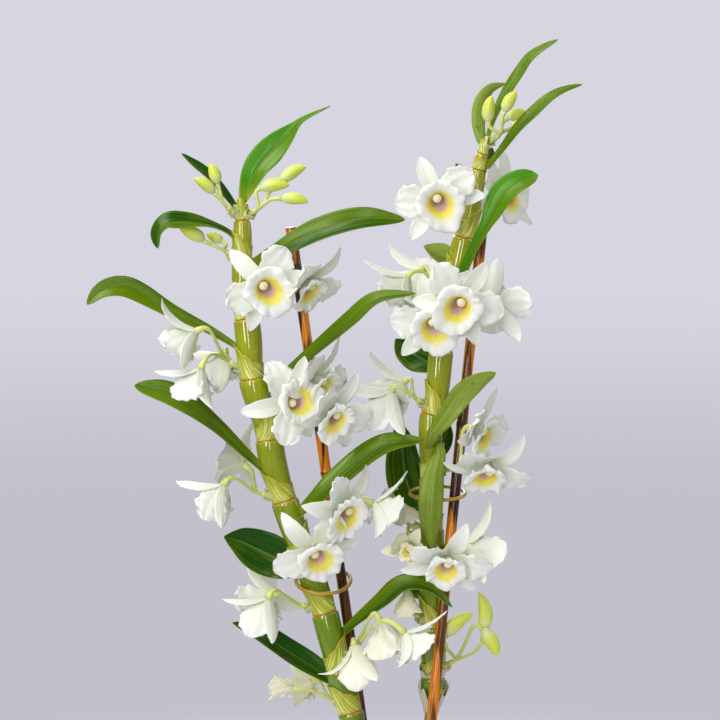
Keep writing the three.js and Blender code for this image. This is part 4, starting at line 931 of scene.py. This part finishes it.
def build_pot(shades):
    """Tapered pot with a thick rounded rim, a rounded foot and a flat floor."""
    height, top, foot, floor, bead, lip, fillet = (
        POT[key] for key in ("height", "top", "foot", "floor", "bead", "lip", "fillet"))
    body, skirt, inset = top - POT["rim"] / 3, height - POT["rim_depth"], fillet + 1
    side = [(foot + (body - foot) * t, skirt * t) for t in np.linspace(0.1, 1, 14)]
    inner = [(pot_inside(z), z) for z in np.linspace(height - lip - 1, floor + inset, 12)]
    profile = (
        [(0, 0), (foot - inset, 0)] + arc((foot - bead, bead), bead, -90, -10) + side
        + [(body + 0.8, skirt + 0.7), (top - 1.2, skirt + 1.8)]
        + arc((top - bead, skirt + 2 + bead), bead, -60, 0) + [(top, height - 2 * lip)]
        + arc((top - lip, height - lip), lip, 0, 90)
        + arc((body - POT["wall"] + lip, height - lip), lip, 90, 180) + inner
        + arc((pot_inside(floor + inset) - inset, floor + fillet), fillet, 0, -90, 4)[1:]
        + [(10, floor), (0, floor)])
    skin = Skin()
    revolve(skin, profile, 128, 0)
    skin.piece("pot_glazed", [pot_finish(shades)], "pot", sharp=60)


def build_bark(shades):
    """A flat-topped bed with loose chips on it. A chip is a squared-off ball: each coordinate of a sphere is
    raised to a power below one, stretched to a flake, turned and strewn clear of the stems."""
    rng = np.random.default_rng(11)
    skin = Skin("tone")
    top, floor, gap = BARK["top"] - BARK["sunk"], POT["floor"] + 0.5, BARK["gap"]
    edge = pot_inside(top) - gap
    profile = [(0, floor)] + [(pot_inside(z) - gap, z) for z in (floor, BARK["middle"])]
    profile += [(edge * share, top) for share in np.linspace(1, 0.04, 14)] + [(0, top)]
    revolve(skin, profile, 72, 0, {"tone": 0.95})
    count, ball = BARK["chips"], globe(4, 8)
    ball = np.sign(ball) * np.abs(ball) ** BARK["squared"]
    reach, swing = (edge - 5) * np.sqrt(rng.uniform(0, 1, count)), rng.uniform(0, 2 * math.pi, count)
    middles = np.column_stack([reach * np.cos(swing), reach * np.sin(swing),
                               BARK["top"] - BARK["buried"] + rng.uniform(*BARK["heaved"], count)])
    extents = np.column_stack([rng.uniform(*span, count) for span in BARK["extents"]])
    stems = [cane_line(cane, [BARK["top"]])[0][:2] for cane in CANES.values()]
    stems += [stake_line(stake, [BARK["top"]])[0][:2] for stake in STAKES.values()]
    for middle, extent in zip(middles, extents):
        if min(np.linalg.norm(middle[:2] - stem) for stem in stems) < BARK["clear"]:
            continue
        (roll, pitch), spin = rng.normal(0, 0.3, 2), rng.uniform(0, math.pi)
        flake = ball * extent * (1 + rng.normal(0, 0.08, ball.shape))
        lay = rotation(2, spin) @ rotation(1, pitch) @ rotation(0, roll)
        poles = [middle + lay[:, 2] * extent[2] * way for way in (-0.9, 0.9)]
        skin.barrel(flake @ lay.T + middle, poles, 0, {"tone": rng.uniform(0, 0.85)})
    skin.piece("bark_bed", [bark_finish(shades)], "growing_medium", sharp=50)


def cane_line(cane, heights):
    """Points of a cane's centreline at heights, read from its path."""
    path = np.asarray(cane["path"], float)
    return np.column_stack([along(path[:, [2, 0, 1]], heights), heights])


def cane_lines(cane):
    """Heights of the foot, the nodes and the tip of a cane."""
    return np.array([cane["path"][0][2], *(node for node, _ in cane["nodes"]), cane["path"][-1][2]], float)


def cane_girth(cane, heights):
    """A cane's radius: its girth times a swell that rises as a sine from a waist above each node line to
    just under the next, and dips in a groove at the line."""
    lines = cane_lines(cane)
    i = np.clip(np.searchsorted(lines, heights, side="right") - 1, 0, len(lines) - 2)
    t = (heights - lines[i]) / (lines[i + 1] - lines[i])
    widest, waist = JOINT["widest"], JOINT["waist"]
    rise = waist + (1 - waist) * np.sin(math.pi / 2 * np.minimum(t / widest, 1))
    dip = 1 - (1 - JOINT["groove"]) * np.clip((t - widest) / (1 - widest), 0, 1) ** 2
    return along(cane["girth"], heights) * rise * dip


def cane_surface(cane, heights, angles, stand):
    """Points on a cane's skin at heights and angles round it (0 is right, a quarter turn is behind),
    standing proud of it by a distance. The rings are square to the centreline."""
    heights, angles, stand = np.broadcast_arrays(heights, angles, stand)
    flat = heights.ravel()
    course = unit(cane_line(cane, flat + 1) - cane_line(cane, flat - 1))
    side = square_to(course, np.broadcast_to(RIGHT, course.shape))
    radius = (cane_girth(cane, flat) + stand.ravel())[:, None]
    points = cane_line(cane, flat) + radius * swung(side, np.cross(course, side), angles.ravel()[:, None])
    return points.reshape(heights.shape + (3,))


def build_cane(shades, name, thickness):
    """The jointed skin of a cane, and in a second piece the papery sheaths that wrap the foot of each
    joint. A sheath is tallest on the side of its leaf, with a ragged edge of two sines, and flares with
    the fourth power of the way up; a dry husk is torn deeper and stands off further."""
    cane = CANES[name]
    lines = cane_lines(cane)
    near = (lines[1:-1, None] + JOINT["near"]).ravel()
    heights = np.concatenate([np.arange(lines[0], lines[-1], JOINT["step"]), near, lines[-1:]])
    heights = np.unique(heights.round(3))
    seam = bell(np.abs(heights[:, None] - lines[None, 1:-1]).min(axis=1), JOINT["seam"])
    angle = math.pi / 2 + circle(JOINT["columns"])
    skin = Skin("seam")
    ends = cane_line(cane, heights[[0, -1]]) + [(0, 0, 0), (0, 0, JOINT["dome"])]
    skin.barrel(cane_surface(cane, heights[:, None], angle[None], 0.0), ends, 0, {"seam": seam[:, None]})
    skin.piece(f"{name}_skin", [cane_finish(shades)], name)

    wraps = Skin("dry", "apex")
    angle = math.pi / 2 + circle(SHEATH["columns"])
    share = np.linspace(0, 1, SHEATH["rows"])[:, None]

    def sheathe(foot, top, stand, dry, apex):
        """A sheath from a height up, by its top's rise and its distance from the skin."""
        wall = cane_surface(cane, foot + share * top, angle[None], stand)
        wraps.shell(wall, thickness, 0, {"dry": dry, "apex": apex}, wrap=True)

    for (node, side), after in zip(cane["nodes"], lines[2:]):
        towards = ((1 + side * np.cos(angle)) / 2) ** 1.6
        top = SHEATH["low"] + (SHEATH["tall"] - SHEATH["low"]) * towards
        top = np.minimum(top, SHEATH["share"] * (after - node))
        ragged = 0.5 * np.sin(7 * angle + node) + 0.3 * np.sin(17 * angle + 2 * node)
        stand = SHEATH["stand"] + SHEATH["flare"] * share ** 4 * (0.4 + towards) + 0.5 * (1 - share) ** 3
        sheathe(node + 0.2, top + ragged, stand, 0.0, 0.5 + 0.25 * side)
    for i, (foot, tall) in enumerate(cane["husks"]):
        torn = 0.62 + 0.28 * np.sin(2 * angle + i) + 0.12 * np.sin(9 * angle + 2 * i)
        stand = 1.3 + 2.4 * share ** 2 * (0.5 + 0.5 * np.sin(3 * angle + i))
        sheathe(foot + 0.4, tall * torn, stand, 1.0, 0.5)
    wraps.piece(f"{name}_sheaths", [sheath_finish(shades)], name)


def stake_line(stake, heights):
    """Points of a straight stake at heights."""
    low, high = np.asarray(stake["low"], float), np.asarray(stake["high"], float)
    return low + (high - low) * ((np.asarray(heights, float) - low[2]) / (high[2] - low[2]))[:, None]


def build_stake(shades, name):
    """A bamboo stake: a straight tube whose radius wanders a little, with a low knob cut by a line at
    its node, and a chamfered end."""
    stake = STAKES[name]
    top, knob, chamfer = stake["high"][2], stake["knob"], STAKE["chamfer"]
    even = np.linspace(STAKE["foot"], top - 2 * chamfer, STAKE["rows"])
    heights = np.unique(np.concatenate([even, knob + STAKE["near"], [top]]).round(3))
    radius = (STAKE["radius"] * (1 + 0.02 * np.sin(heights / 23))
              + STAKE["knob"] * bell(heights - knob, 1.6) - STAKE["line"] * bell(heights - knob, 0.4))
    radius[-1] -= chamfer
    seam = bell(heights - knob, 0.8) + 0.6 * (heights > top - STAKE["end"])
    skin = Skin("seam")
    skin.tube(stake_line(stake, heights), radius, STAKE["columns"], 0, {"seam": seam}, dome=0)
    finish = bamboo_finish(shades, name, stake["scorched"])
    skin.piece(f"{name}_bamboo", [finish], name, sharp=40)


def build_ring(shades, name):
    """A wire ring: a circle carried round a larger one, tilted so that its front hangs lower."""
    at, tilt = np.asarray(RINGS[name]["at"], float), math.radians(RINGS[name]["tilt"])
    turn, roll = np.meshgrid(circle(96), circle(16), indexing="ij")
    reach = RING["radius"] + RING["wire"] * np.cos(roll)
    flat = np.stack([reach * np.cos(turn), reach * np.sin(turn), RING["wire"] * np.sin(roll)], axis=-1)
    skin = Skin()
    numbers = skin.add(flat @ rotation(0, tilt).T + at, {})
    skin.weave(np.vstack([numbers, numbers[:1]]), 0, wrap=True, flip=True)
    skin.piece(f"{name}_wire", [ring_finish(shades)], name)


# ---------------------------------------------------------------- leaves
def build_leaf(name, thickness, finish):
    """A strap leaf: a grid along its midline and across its width. It is folded along the midrib, more
    so near its base, its margins wave a little, and it narrows to a point by a table of widths."""
    path, width, face, tip_face, shape, tone = LEAVES[name]
    rng = np.random.default_rng(sum(name.encode()))
    share = np.sin(np.linspace(0, math.pi / 2, LEAF["rows"])) ** 1.15
    middle, course = midline(path, share)
    share = share[:, None]
    up = square_to(course, np.asarray(face) + (np.asarray(tip_face) - np.asarray(face)) * share)
    across = np.cross(course, up)
    half = along(LEAF["shapes"][shape], share[:, 0])[:, None] * width / 2
    v = np.linspace(1, -1, LEAF["columns"])[None]
    crease = (LEAF["fold"] + LEAF["base_fold"] * np.exp(-share * 9)) * half * (2 * np.abs(v) ** 1.3 - 1)
    wave = np.sin(2 * math.pi * (1.6 * share + rng.uniform() + 0.3 * v)) * np.abs(v) ** 2
    lift = crease + LEAF["wave"] * width * wave * np.sin(math.pi * share)
    grid = middle[:, None] + across[:, None] * (v * half)[..., None] + up[:, None] * lift[..., None]
    wall = thickness / MM * (1 - LEAF["thin_margin"] * np.abs(v) ** 3)
    skin = Skin("tone", "under")
    skin.shell(grid, wall, 0, {"tone": tone, "under": 1.0}, {"under": 0.0})
    skin.piece(f"{name}_blade", [finish], name)


# ---------------------------------------------------------------- blooms and buds
def outwards(degrees):
    """A direction square to a bloom's axis, turned from its upper sepal."""
    angle = math.radians(degrees)
    return np.array([-math.sin(angle), math.cos(angle), 0])


def bloom_frame(facing, upper):
    """The bloom's own axes as rows: x, y towards its upper sepal, z out of its face."""
    z, angle = unit(facing), math.radians(upper)
    y = square_to(z, np.array([math.cos(angle), 0, math.sin(angle)]))
    return np.array([np.cross(y, z), y, z])


def add_tepal(skin, lay, shape, turn, opening, level, wall, wave, rng, blush, young):
    """One petal or sepal: it leaves the axis at an angle that grows a little along it, and its
    half-width comes from a table, notched by two sines. Its margins lift towards the face with the
    square of the distance from the midline, and ruffle by a sum of sines whose heights are drawn and
    fall as they get shorter."""
    share = (0.5 - 0.5 * np.cos(np.linspace(0, math.pi, TEPAL["rows"])))[:, None]
    v = np.linspace(1, -1, TEPAL["columns"])[None]
    turn = turn + rng.normal(0, TEPAL["turned"])
    curl, twist = rng.normal(*TEPAL["curl"]), rng.normal(0, TEPAL["twist"])
    lean = (opening + shape["behind"] + rng.normal(0, TEPAL["leant"])) * (0.8 + 0.2 * share)
    lean = np.radians(lean + curl * share ** 3)
    run = share * shape["length"] * (1 + rng.normal(0, TEPAL["longer"]))
    out, across = outwards(turn), outwards(turn + 90)
    half = along(shape["widths"], share) * shape["width"] / 2
    phase = rng.uniform(0, 2 * math.pi, 3)
    fold, full = TEPAL["folds"], 2 * math.pi
    height = rng.normal(0, TEPAL["fold"], (len(fold), 1, 1)) * fold ** TEPAL["fade"]
    ruffle = height * np.sin(full * fold * share + fold ** 2 + 2 * phase[0] * np.sign(v))
    lift = (shape["cup"] * v ** 2 * np.sin(math.pi * share) ** 0.5 + twist * share * v * half
            + wave * np.abs(v) ** 2.5 * share * ruffle.sum(axis=0)
            + 0.3 * wave * np.sin(full * (1.4 * v + 0.8 * share) + phase[2]) * share
            + TEPAL["groove"] * bell(v, TEPAL["groove_width"]) * (share - 1)
            + 0.16 * wave * np.sin(11 * v + phase[1]) * share)
    half = half * (1 + 0.05 * wave * np.sin(full * 3.7 * share + phase[0] + np.sign(v))
                   + 0.035 * wave * np.sin(full * 8 * share + phase[1] * np.sign(v)) * share)
    lean, run = lean[..., None], run[..., None]
    spine = out * (HUB["radius"] / 2 + run * np.sin(lean)) + UP * (level + run * np.cos(lean))
    normal = -out * np.cos(lean) + UP * np.sin(lean)
    grid = spine + across * (v * half)[..., None] + normal * lift[..., None]
    thick = wall * (1 - 0.7 * np.abs(v) ** 3) * (1 + 0.6 * (1 - share) ** 4) * (1 - 0.4 * share ** 2)
    skin.shell(lay(grid), thick, 0, {
        "base": (1 - share) ** 2 * 0.9, "blush": blush * smoothstep(0.86, 1, share),
        "green": shape["green"], "young": young})


def add_lip(skin, lay, opening, wall, ruffle, rng, blush, young):
    """The lip: a funnel round a tilted axis. Its radius and height come from a table, it reaches further
    on its lower side, and it closes up on a narrow bloom. Its rim is ruffled by a sum of sines whose
    heights are drawn and fall as they get shorter, and that grow with the fourth power of the way to the
    rim."""
    spread = min(opening / LIP["open_at"], 1)
    tilt = math.radians(LIP["lean"] * spread ** 2)
    axis, down = (rotation(0, tilt) @ way for way in (UP, np.array([0, -1.0, 0])))
    share = np.linspace(0, 1, LIP["rows"])
    angle = math.pi + circle(LIP["columns"])[None]
    table, share = along(LIP["profile"], share), share[:, None]
    oval = 0.16 * np.cos(angle) + 0.06 * np.cos(2 * angle) + 0.04 * np.cos(3 * angle)
    fold, edge = LIP["folds"], share ** 4
    turns = rng.uniform(0, 2 * math.pi, (2, len(fold), 1))
    height = rng.normal(0, LIP["fold"], (2, len(fold), 1)) * fold ** LIP["fade"]
    frill, flare = (height * np.sin(fold * angle + turns)).sum(axis=1)
    radius = table[:, :1] * (LIP["throat"] + (1 - LIP["throat"]) * spread) * (1 + oval * share)
    radius = (radius + LIP["flare"] * edge * flare)[..., None]
    rise = (table[:, 1:] + LIP["slant"] * share ** 2 * np.cos(angle) + ruffle * edge * frill)[..., None]
    grid = axis * rise + radius * swung(down, RIGHT, angle[..., None])
    lower = 0.5 + 0.5 * np.cos(angle)
    reach = smoothstep(0.02, 0.16, share) * (1 - smoothstep(0.42, 0.82, share + 0.14 * (1 - lower)))
    tip = blush * smoothstep(0.9, 1, share) * smoothstep(0.9, 1, np.cos(angle + turns[0, 0] / 8))
    skin.shell(
        lay(grid), wall * (1 - 0.6 * share ** 3), 0,
        {"base": (1 - share) ** 1.5 * 0.8, "blush": tip, "young": young},
        # The back face gets the yellow throat and a mauve stain strongest in the funnel's depth and on its
        # lower side, partly painted shade.
        {"base": 0.0, "yolk": reach * (0.75 + 0.25 * lower),
         "throat_stain_and_shade": (1 - smoothstep(0.3, 0.5, share + 0.26 * (1 - lower))) * (0.15 + 0.85 * lower)}, wrap=True)
    return axis, down, spread


def add_column(skin, lay, axis, down, spread):
    """The column: a short rod along the upper side of the throat, with a rounded cap at its end."""
    share = np.linspace(0, 1, 16)
    path = axis * (share * COLUMN["length"])[:, None] - down * (1.1 + 1.2 * share[:, None] * spread)
    skin.tube(lay(path), COLUMN["radius"] * along(COLUMN["girth"], share), 14, 2, dome=0.35)


def stalk_path(start, outward, end, arriving, count):
    """A stalk's points: a cubic Bezier curve that leaves along its fork and arrives square to the back
    of its bloom, with handles of 0.4 and 0.5 of the distance."""
    reach, t = np.linalg.norm(end - start), np.linspace(0, 1, count)[:, None]
    return ((1 - t) ** 3 * start + 3 * t * (1 - t) ** 2 * (start + outward * 0.4 * reach)
            + 3 * t * t * (1 - t) * (end - arriving * 0.5 * reach) + t ** 3 * end)


def add_stem(skin, cane, number, node, split):
    """The common stalk of a spray, in a papery collar that widens with the square of the way out, and
    wanders two and three times round. Returns the stalk's direction."""
    root, girth = cane_line(cane, [node])[0], cane_girth(cane, np.array([float(node)]))[0]
    outward = unit(split - root)
    stem = root + outward * np.linspace(0, np.linalg.norm(split - root), 8)[:, None]
    skin.tube(stem, np.full(8, STEM["radius"]), 14, 1, {"green": np.linspace(0.7, 0.3, 8)}, dome=0.6)
    turn, share = circle(24)[None, :, None], np.linspace(0, 1, 6)[:, None, None]
    side = square_to(outward, UP)
    reach = girth - STEM["sunk"] + share * STEM["collar_reach"] * (1 + 0.25 * np.sin(3 * turn + number))
    width = (3.3 + 1.1 * share ** 2 * (1 + 0.4 * np.sin(2 * turn + number))
             - 1.2 * np.sin(math.pi * share) * 0.4)
    collar = root + outward * reach + width * swung(side, np.cross(outward, side), turn)
    skin.shell(collar, STEM["collar_wall"], 1, {"dry": 0.4, "green": 0.3}, wrap=True)
    return outward


def build_spray(number, name, sizes, finishes):
    """All that grows from one node: a common stalk in a papery collar, a hooked stalk to each bloom and
    bud, and the blooms and buds themselves."""
    cane_name, node, fork, blooms, buds = SPRAYS[name]
    split = np.asarray(fork, float)
    skin = Skin("base", "blush", "yolk", "throat_stain_and_shade", "green", "dry", "young")
    outward = add_stem(skin, CANES[cane_name], number, node, split)
    pedicel, wall, wave, ruffle = (value / MM for value in (
        sizes.pedicel, sizes.petal, sizes.wave, sizes.ruffle))
    for i, (at, facing, upper, opening, scale) in enumerate(blooms):
        rng = np.random.default_rng(100 * number + i)
        at, axes = np.asarray(at, float), bloom_frame(facing, upper)
        lay = lambda points: (points * scale) @ axes + at
        blush = rng.choice([0.0, 0.25, 0.9], p=[0.45, 0.3, 0.25])
        young = max(smoothstep(46, 30, opening), smoothstep(1.0, 0.8, scale))
        reflex = SEPAL["reflex"] * (LIP["open_at"] - opening) if opening > SEPAL["closed"] else 0
        for turn, further in zip(SEPAL["turns"], (0, 0, reflex)):
            add_tepal(skin, lay, SEPAL, turn, opening + further, -HUB["rise"] / 2, wall, SEPAL["wave"], rng,
                      blush * 0.3, young)
        for turn in PETAL["turns"]:
            add_tepal(skin, lay, PETAL, turn, opening, HUB["rise"] / 2, wall, wave, rng, blush, young)
        add_column(skin, lay, *add_lip(skin, lay, opening, wall, ruffle, rng, blush, young))
        path = stalk_path(split, outward, at - axes[2] * HUB["rise"] * scale, axes[2], 22)
        share = np.linspace(0, 1, len(path))
        radius = pedicel * (1 + 0.12 * np.sin(9 * share)) + STEM["swell"] * scale * np.exp(-(1 - share) * 9)
        skin.tube(path, radius, 14, 1, {"green": 0.12 + 0.25 * (1 - share)}, dome=0.5)
    for middle, direction, length, girth in buds:
        axis, share = unit(direction), np.linspace(-0.5, 0.5, BUD["rings"])
        bow = BUD["bow"] * length ** 2 * np.cos(math.pi * share)
        body = (np.asarray(middle, float) + axis * (share * length)[:, None]
                + square_to(axis, UP + 0.01) * bow[:, None])
        skin.tube(body, along(BUD["widths"], share) * girth / 2, 20, 3, lobes=BUD["lobes"], dome=0.5)
        path = stalk_path(split, outward, body[0], axis, 14)
        share = np.linspace(0, 1, len(path))
        skin.tube(path, pedicel + 0.5 * share ** 4, 12, 1, {"green": 0.35 - 0.2 * share})
    kind, slot = ("bloom", "petal") if blooms else ("tips", "bud")
    skin.piece(f"{name}_{kind}", finishes, name)


# ---------------------------------------------------------------- stage
CAMERA = {"target": (-0.023, 0, 0.397), "distance": 2.0, "elevation": 5, "frame": 0.504, "sensor": 36}
STRIPS = [  # soft boxes aimed at the plant, in metres: centre, width, height, power in watts, colour
    ((-1.17, -1.87, 1.0), 0.4, 2.0, 27, (1.0, 0.99, 0.97)),
    ((-0.1, -2.25, 0.95), 0.24, 1.9, 13, (0.98, 0.99, 1.0)),
    ((-0.9, -0.3, 1.9), 1.2, 1.0, 22, (1.0, 1.0, 1.0)),
    ((1.6, 0.2, 1.2), 0.7, 1.6, 10, (0.97, 0.98, 1.0)),
    ((-0.2, 1.6, 1.2), 1.0, 1.4, 14, (0.97, 0.98, 1.0)),
]
SKY = {"Color": (0.97, 0.97, 1.0, 1), "Strength": 0.3}
# In metres: the floor's rings and where it starts and ends to thin out, and the backdrop's radius and
# the heights between which it brightens out of the shade painted low on it.
FLOOR = {"rings": (0.3, 0.7, 1.2, 2.0, 3.0), "clears": (0.3, 0.75), "cloudy": 0.94}
BACKDROP = {"colour": (0.675, 0.665, 0.745), "dim": 0.8, "radius": 12, "rises": (-1.35, -0.25)}


def build_stage(shades):
    """A round floor, a glowing ball round it all, five soft boxes, an even sky and the camera."""
    turn = circle(64)
    rings = np.stack([np.outer(FLOOR["rings"], shape) for shape in (np.cos(turn), np.sin(turn), 0 * turn)],
                     axis=-1) / MM
    disc, ball = Skin(), Skin()
    numbers = disc.add(rings, {})
    disc.weave(numbers, 0, wrap=True, flip=True)
    disc.cap(numbers[0], (0, 0, 0), 0, {}, True)
    ball.weave(ball.add(globe(23, 48) * BACKDROP["radius"] / MM, {}), 0, wrap=True, flip=True)
    floor = link("floor", disc.mesh("floor", [floor_finish(shades)]))
    backdrop = link("backdrop", ball.mesh("backdrop", [backdrop_finish()]))
    backdrop.visible_diffuse = backdrop.visible_glossy = backdrop.visible_transmission = False
    backdrop.visible_shadow = False

    target = Vector(CAMERA["target"])
    for i, (place, width, height, power, shade) in enumerate(STRIPS):
        lamp = bpy.data.lights.new(f"soft_box_{i}", "AREA")
        lamp.shape, lamp.size, lamp.size_y = "RECTANGLE", width, height
        lamp.energy, lamp.color = power, shade
        box = link(lamp.name, lamp)
        box.location = place
        box.rotation_euler = (target - Vector(place)).to_track_quat("-Z", "Y").to_euler()
        box.visible_camera = False

    world = bpy.data.worlds.new("sky")
    world.use_nodes = True
    for socket, value in SKY.items():
        world.node_tree.nodes["Background"].inputs[socket].default_value = value
    bpy.context.scene.world = world
    bpy.context.scene.view_settings.view_transform = "Standard"

    lens = bpy.data.cameras.new("camera")
    lens.sensor_width = CAMERA["sensor"]
    lens.lens = CAMERA["sensor"] * CAMERA["distance"] / CAMERA["frame"]
    lens.clip_start, lens.clip_end = 0.05, 50
    camera = link("camera", lens)
    tilt = math.radians(CAMERA["elevation"])
    camera.location = target + Vector((0, -math.cos(tilt), math.sin(tilt))) * CAMERA["distance"]
    camera.rotation_euler = (target - camera.location).to_track_quat("-Z", "Y").to_euler()
    bpy.context.scene.camera = camera


# ---------------------------------------------------------------- operators and panel
class Maker:
    """What the operators share: each makes its pieces with the colours and sizes set in the scene."""
    bl_options = {"REGISTER", "UNDO"}

    def execute(self, context):
        self.make(context.scene.dendrobium_colours, context.scene.dendrobium_sizes)
        return {"FINISHED"}


class DENDROBIUM_OT_stage(Maker, bpy.types.Operator):
    """Lay the floor, hang the lights and set the camera"""
    bl_idname, bl_label = "dendrobium.stage", "Stage"

    def make(self, shades, sizes):
        build_stage(shades)


class DENDROBIUM_OT_pot(Maker, bpy.types.Operator):
    """Make the glazed pot"""
    bl_idname, bl_label = "dendrobium.pot", "Pot"

    def make(self, shades, sizes):
        build_pot(shades)


class DENDROBIUM_OT_bark(Maker, bpy.types.Operator):
    """Fill the pot with bark chips"""
    bl_idname, bl_label = "dendrobium.bark", "Bark"

    def make(self, shades, sizes):
        build_bark(shades)


class DENDROBIUM_OT_canes(Maker, bpy.types.Operator):
    """Grow the two jointed canes with their sheaths"""
    bl_idname, bl_label = "dendrobium.canes", "Canes"

    def make(self, shades, sizes):
        for name in CANES:
            build_cane(shades, name, sizes.sheath / MM)


class DENDROBIUM_OT_stakes(Maker, bpy.types.Operator):
    """Set the bamboo stakes and the rings that tie the canes to them"""
    bl_idname, bl_label = "dendrobium.stakes", "Stakes and rings"

    def make(self, shades, sizes):
        for name in STAKES:
            build_stake(shades, name)
        for name in RINGS:
            build_ring(shades, name)


class DENDROBIUM_OT_leaves(Maker, bpy.types.Operator):
    """Grow the leaves"""
    bl_idname, bl_label = "dendrobium.leaves", "Leaves"

    def make(self, shades, sizes):
        finish = leaf_finish(shades)
        for name in LEAVES:
            build_leaf(name, sizes.leaf, finish)


class DENDROBIUM_OT_sprays(Maker, bpy.types.Operator):
    """Grow the sprays of blooms and buds"""
    bl_idname, bl_label = "dendrobium.sprays", "Sprays"

    def make(self, shades, sizes):
        finishes = [petal_finish(shades), stalk_finish(shades), column_finish(shades), bud_finish(shades)]
        for number, name in enumerate(SPRAYS):
            build_spray(number, name, sizes, finishes)


OPERATORS = (
    DENDROBIUM_OT_stage, DENDROBIUM_OT_pot, DENDROBIUM_OT_bark, DENDROBIUM_OT_canes, DENDROBIUM_OT_stakes,
    DENDROBIUM_OT_leaves, DENDROBIUM_OT_sprays)


class DENDROBIUM_PT_panel(bpy.types.Panel):
    """Lists the plant's pieces, sizes and colours"""
    bl_idname, bl_label = "DENDROBIUM_PT_panel", "Dendrobium"
    bl_space_type, bl_region_type, bl_category = "VIEW_3D", "UI", "Dendrobium"

    def draw(self, context):
        for operator in OPERATORS:
            self.layout.operator(operator.bl_idname)
        for settings in (context.scene.dendrobium_sizes, context.scene.dendrobium_colours):
            column = self.layout.column()
            for name in type(settings).__annotations__:
                column.prop(settings, name)


CLASSES = (DendrobiumSizes, DendrobiumColours, *OPERATORS, DENDROBIUM_PT_panel)


def register():
    for kind in CLASSES:
        bpy.utils.register_class(kind)
    bpy.types.Scene.dendrobium_sizes = bpy.props.PointerProperty(type=DendrobiumSizes)
    bpy.types.Scene.dendrobium_colours = bpy.props.PointerProperty(type=DendrobiumColours)


def unregister():
    del bpy.types.Scene.dendrobium_colours
    del bpy.types.Scene.dendrobium_sizes
    for kind in reversed(CLASSES):
        bpy.utils.unregister_class(kind)


def main():
    """Registers the add-on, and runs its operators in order."""
    register()
    for operator in OPERATORS:
        group, name = operator.bl_idname.split(".")
        getattr(getattr(bpy.ops, group), name)()


if __name__ == "__main__":
    main()
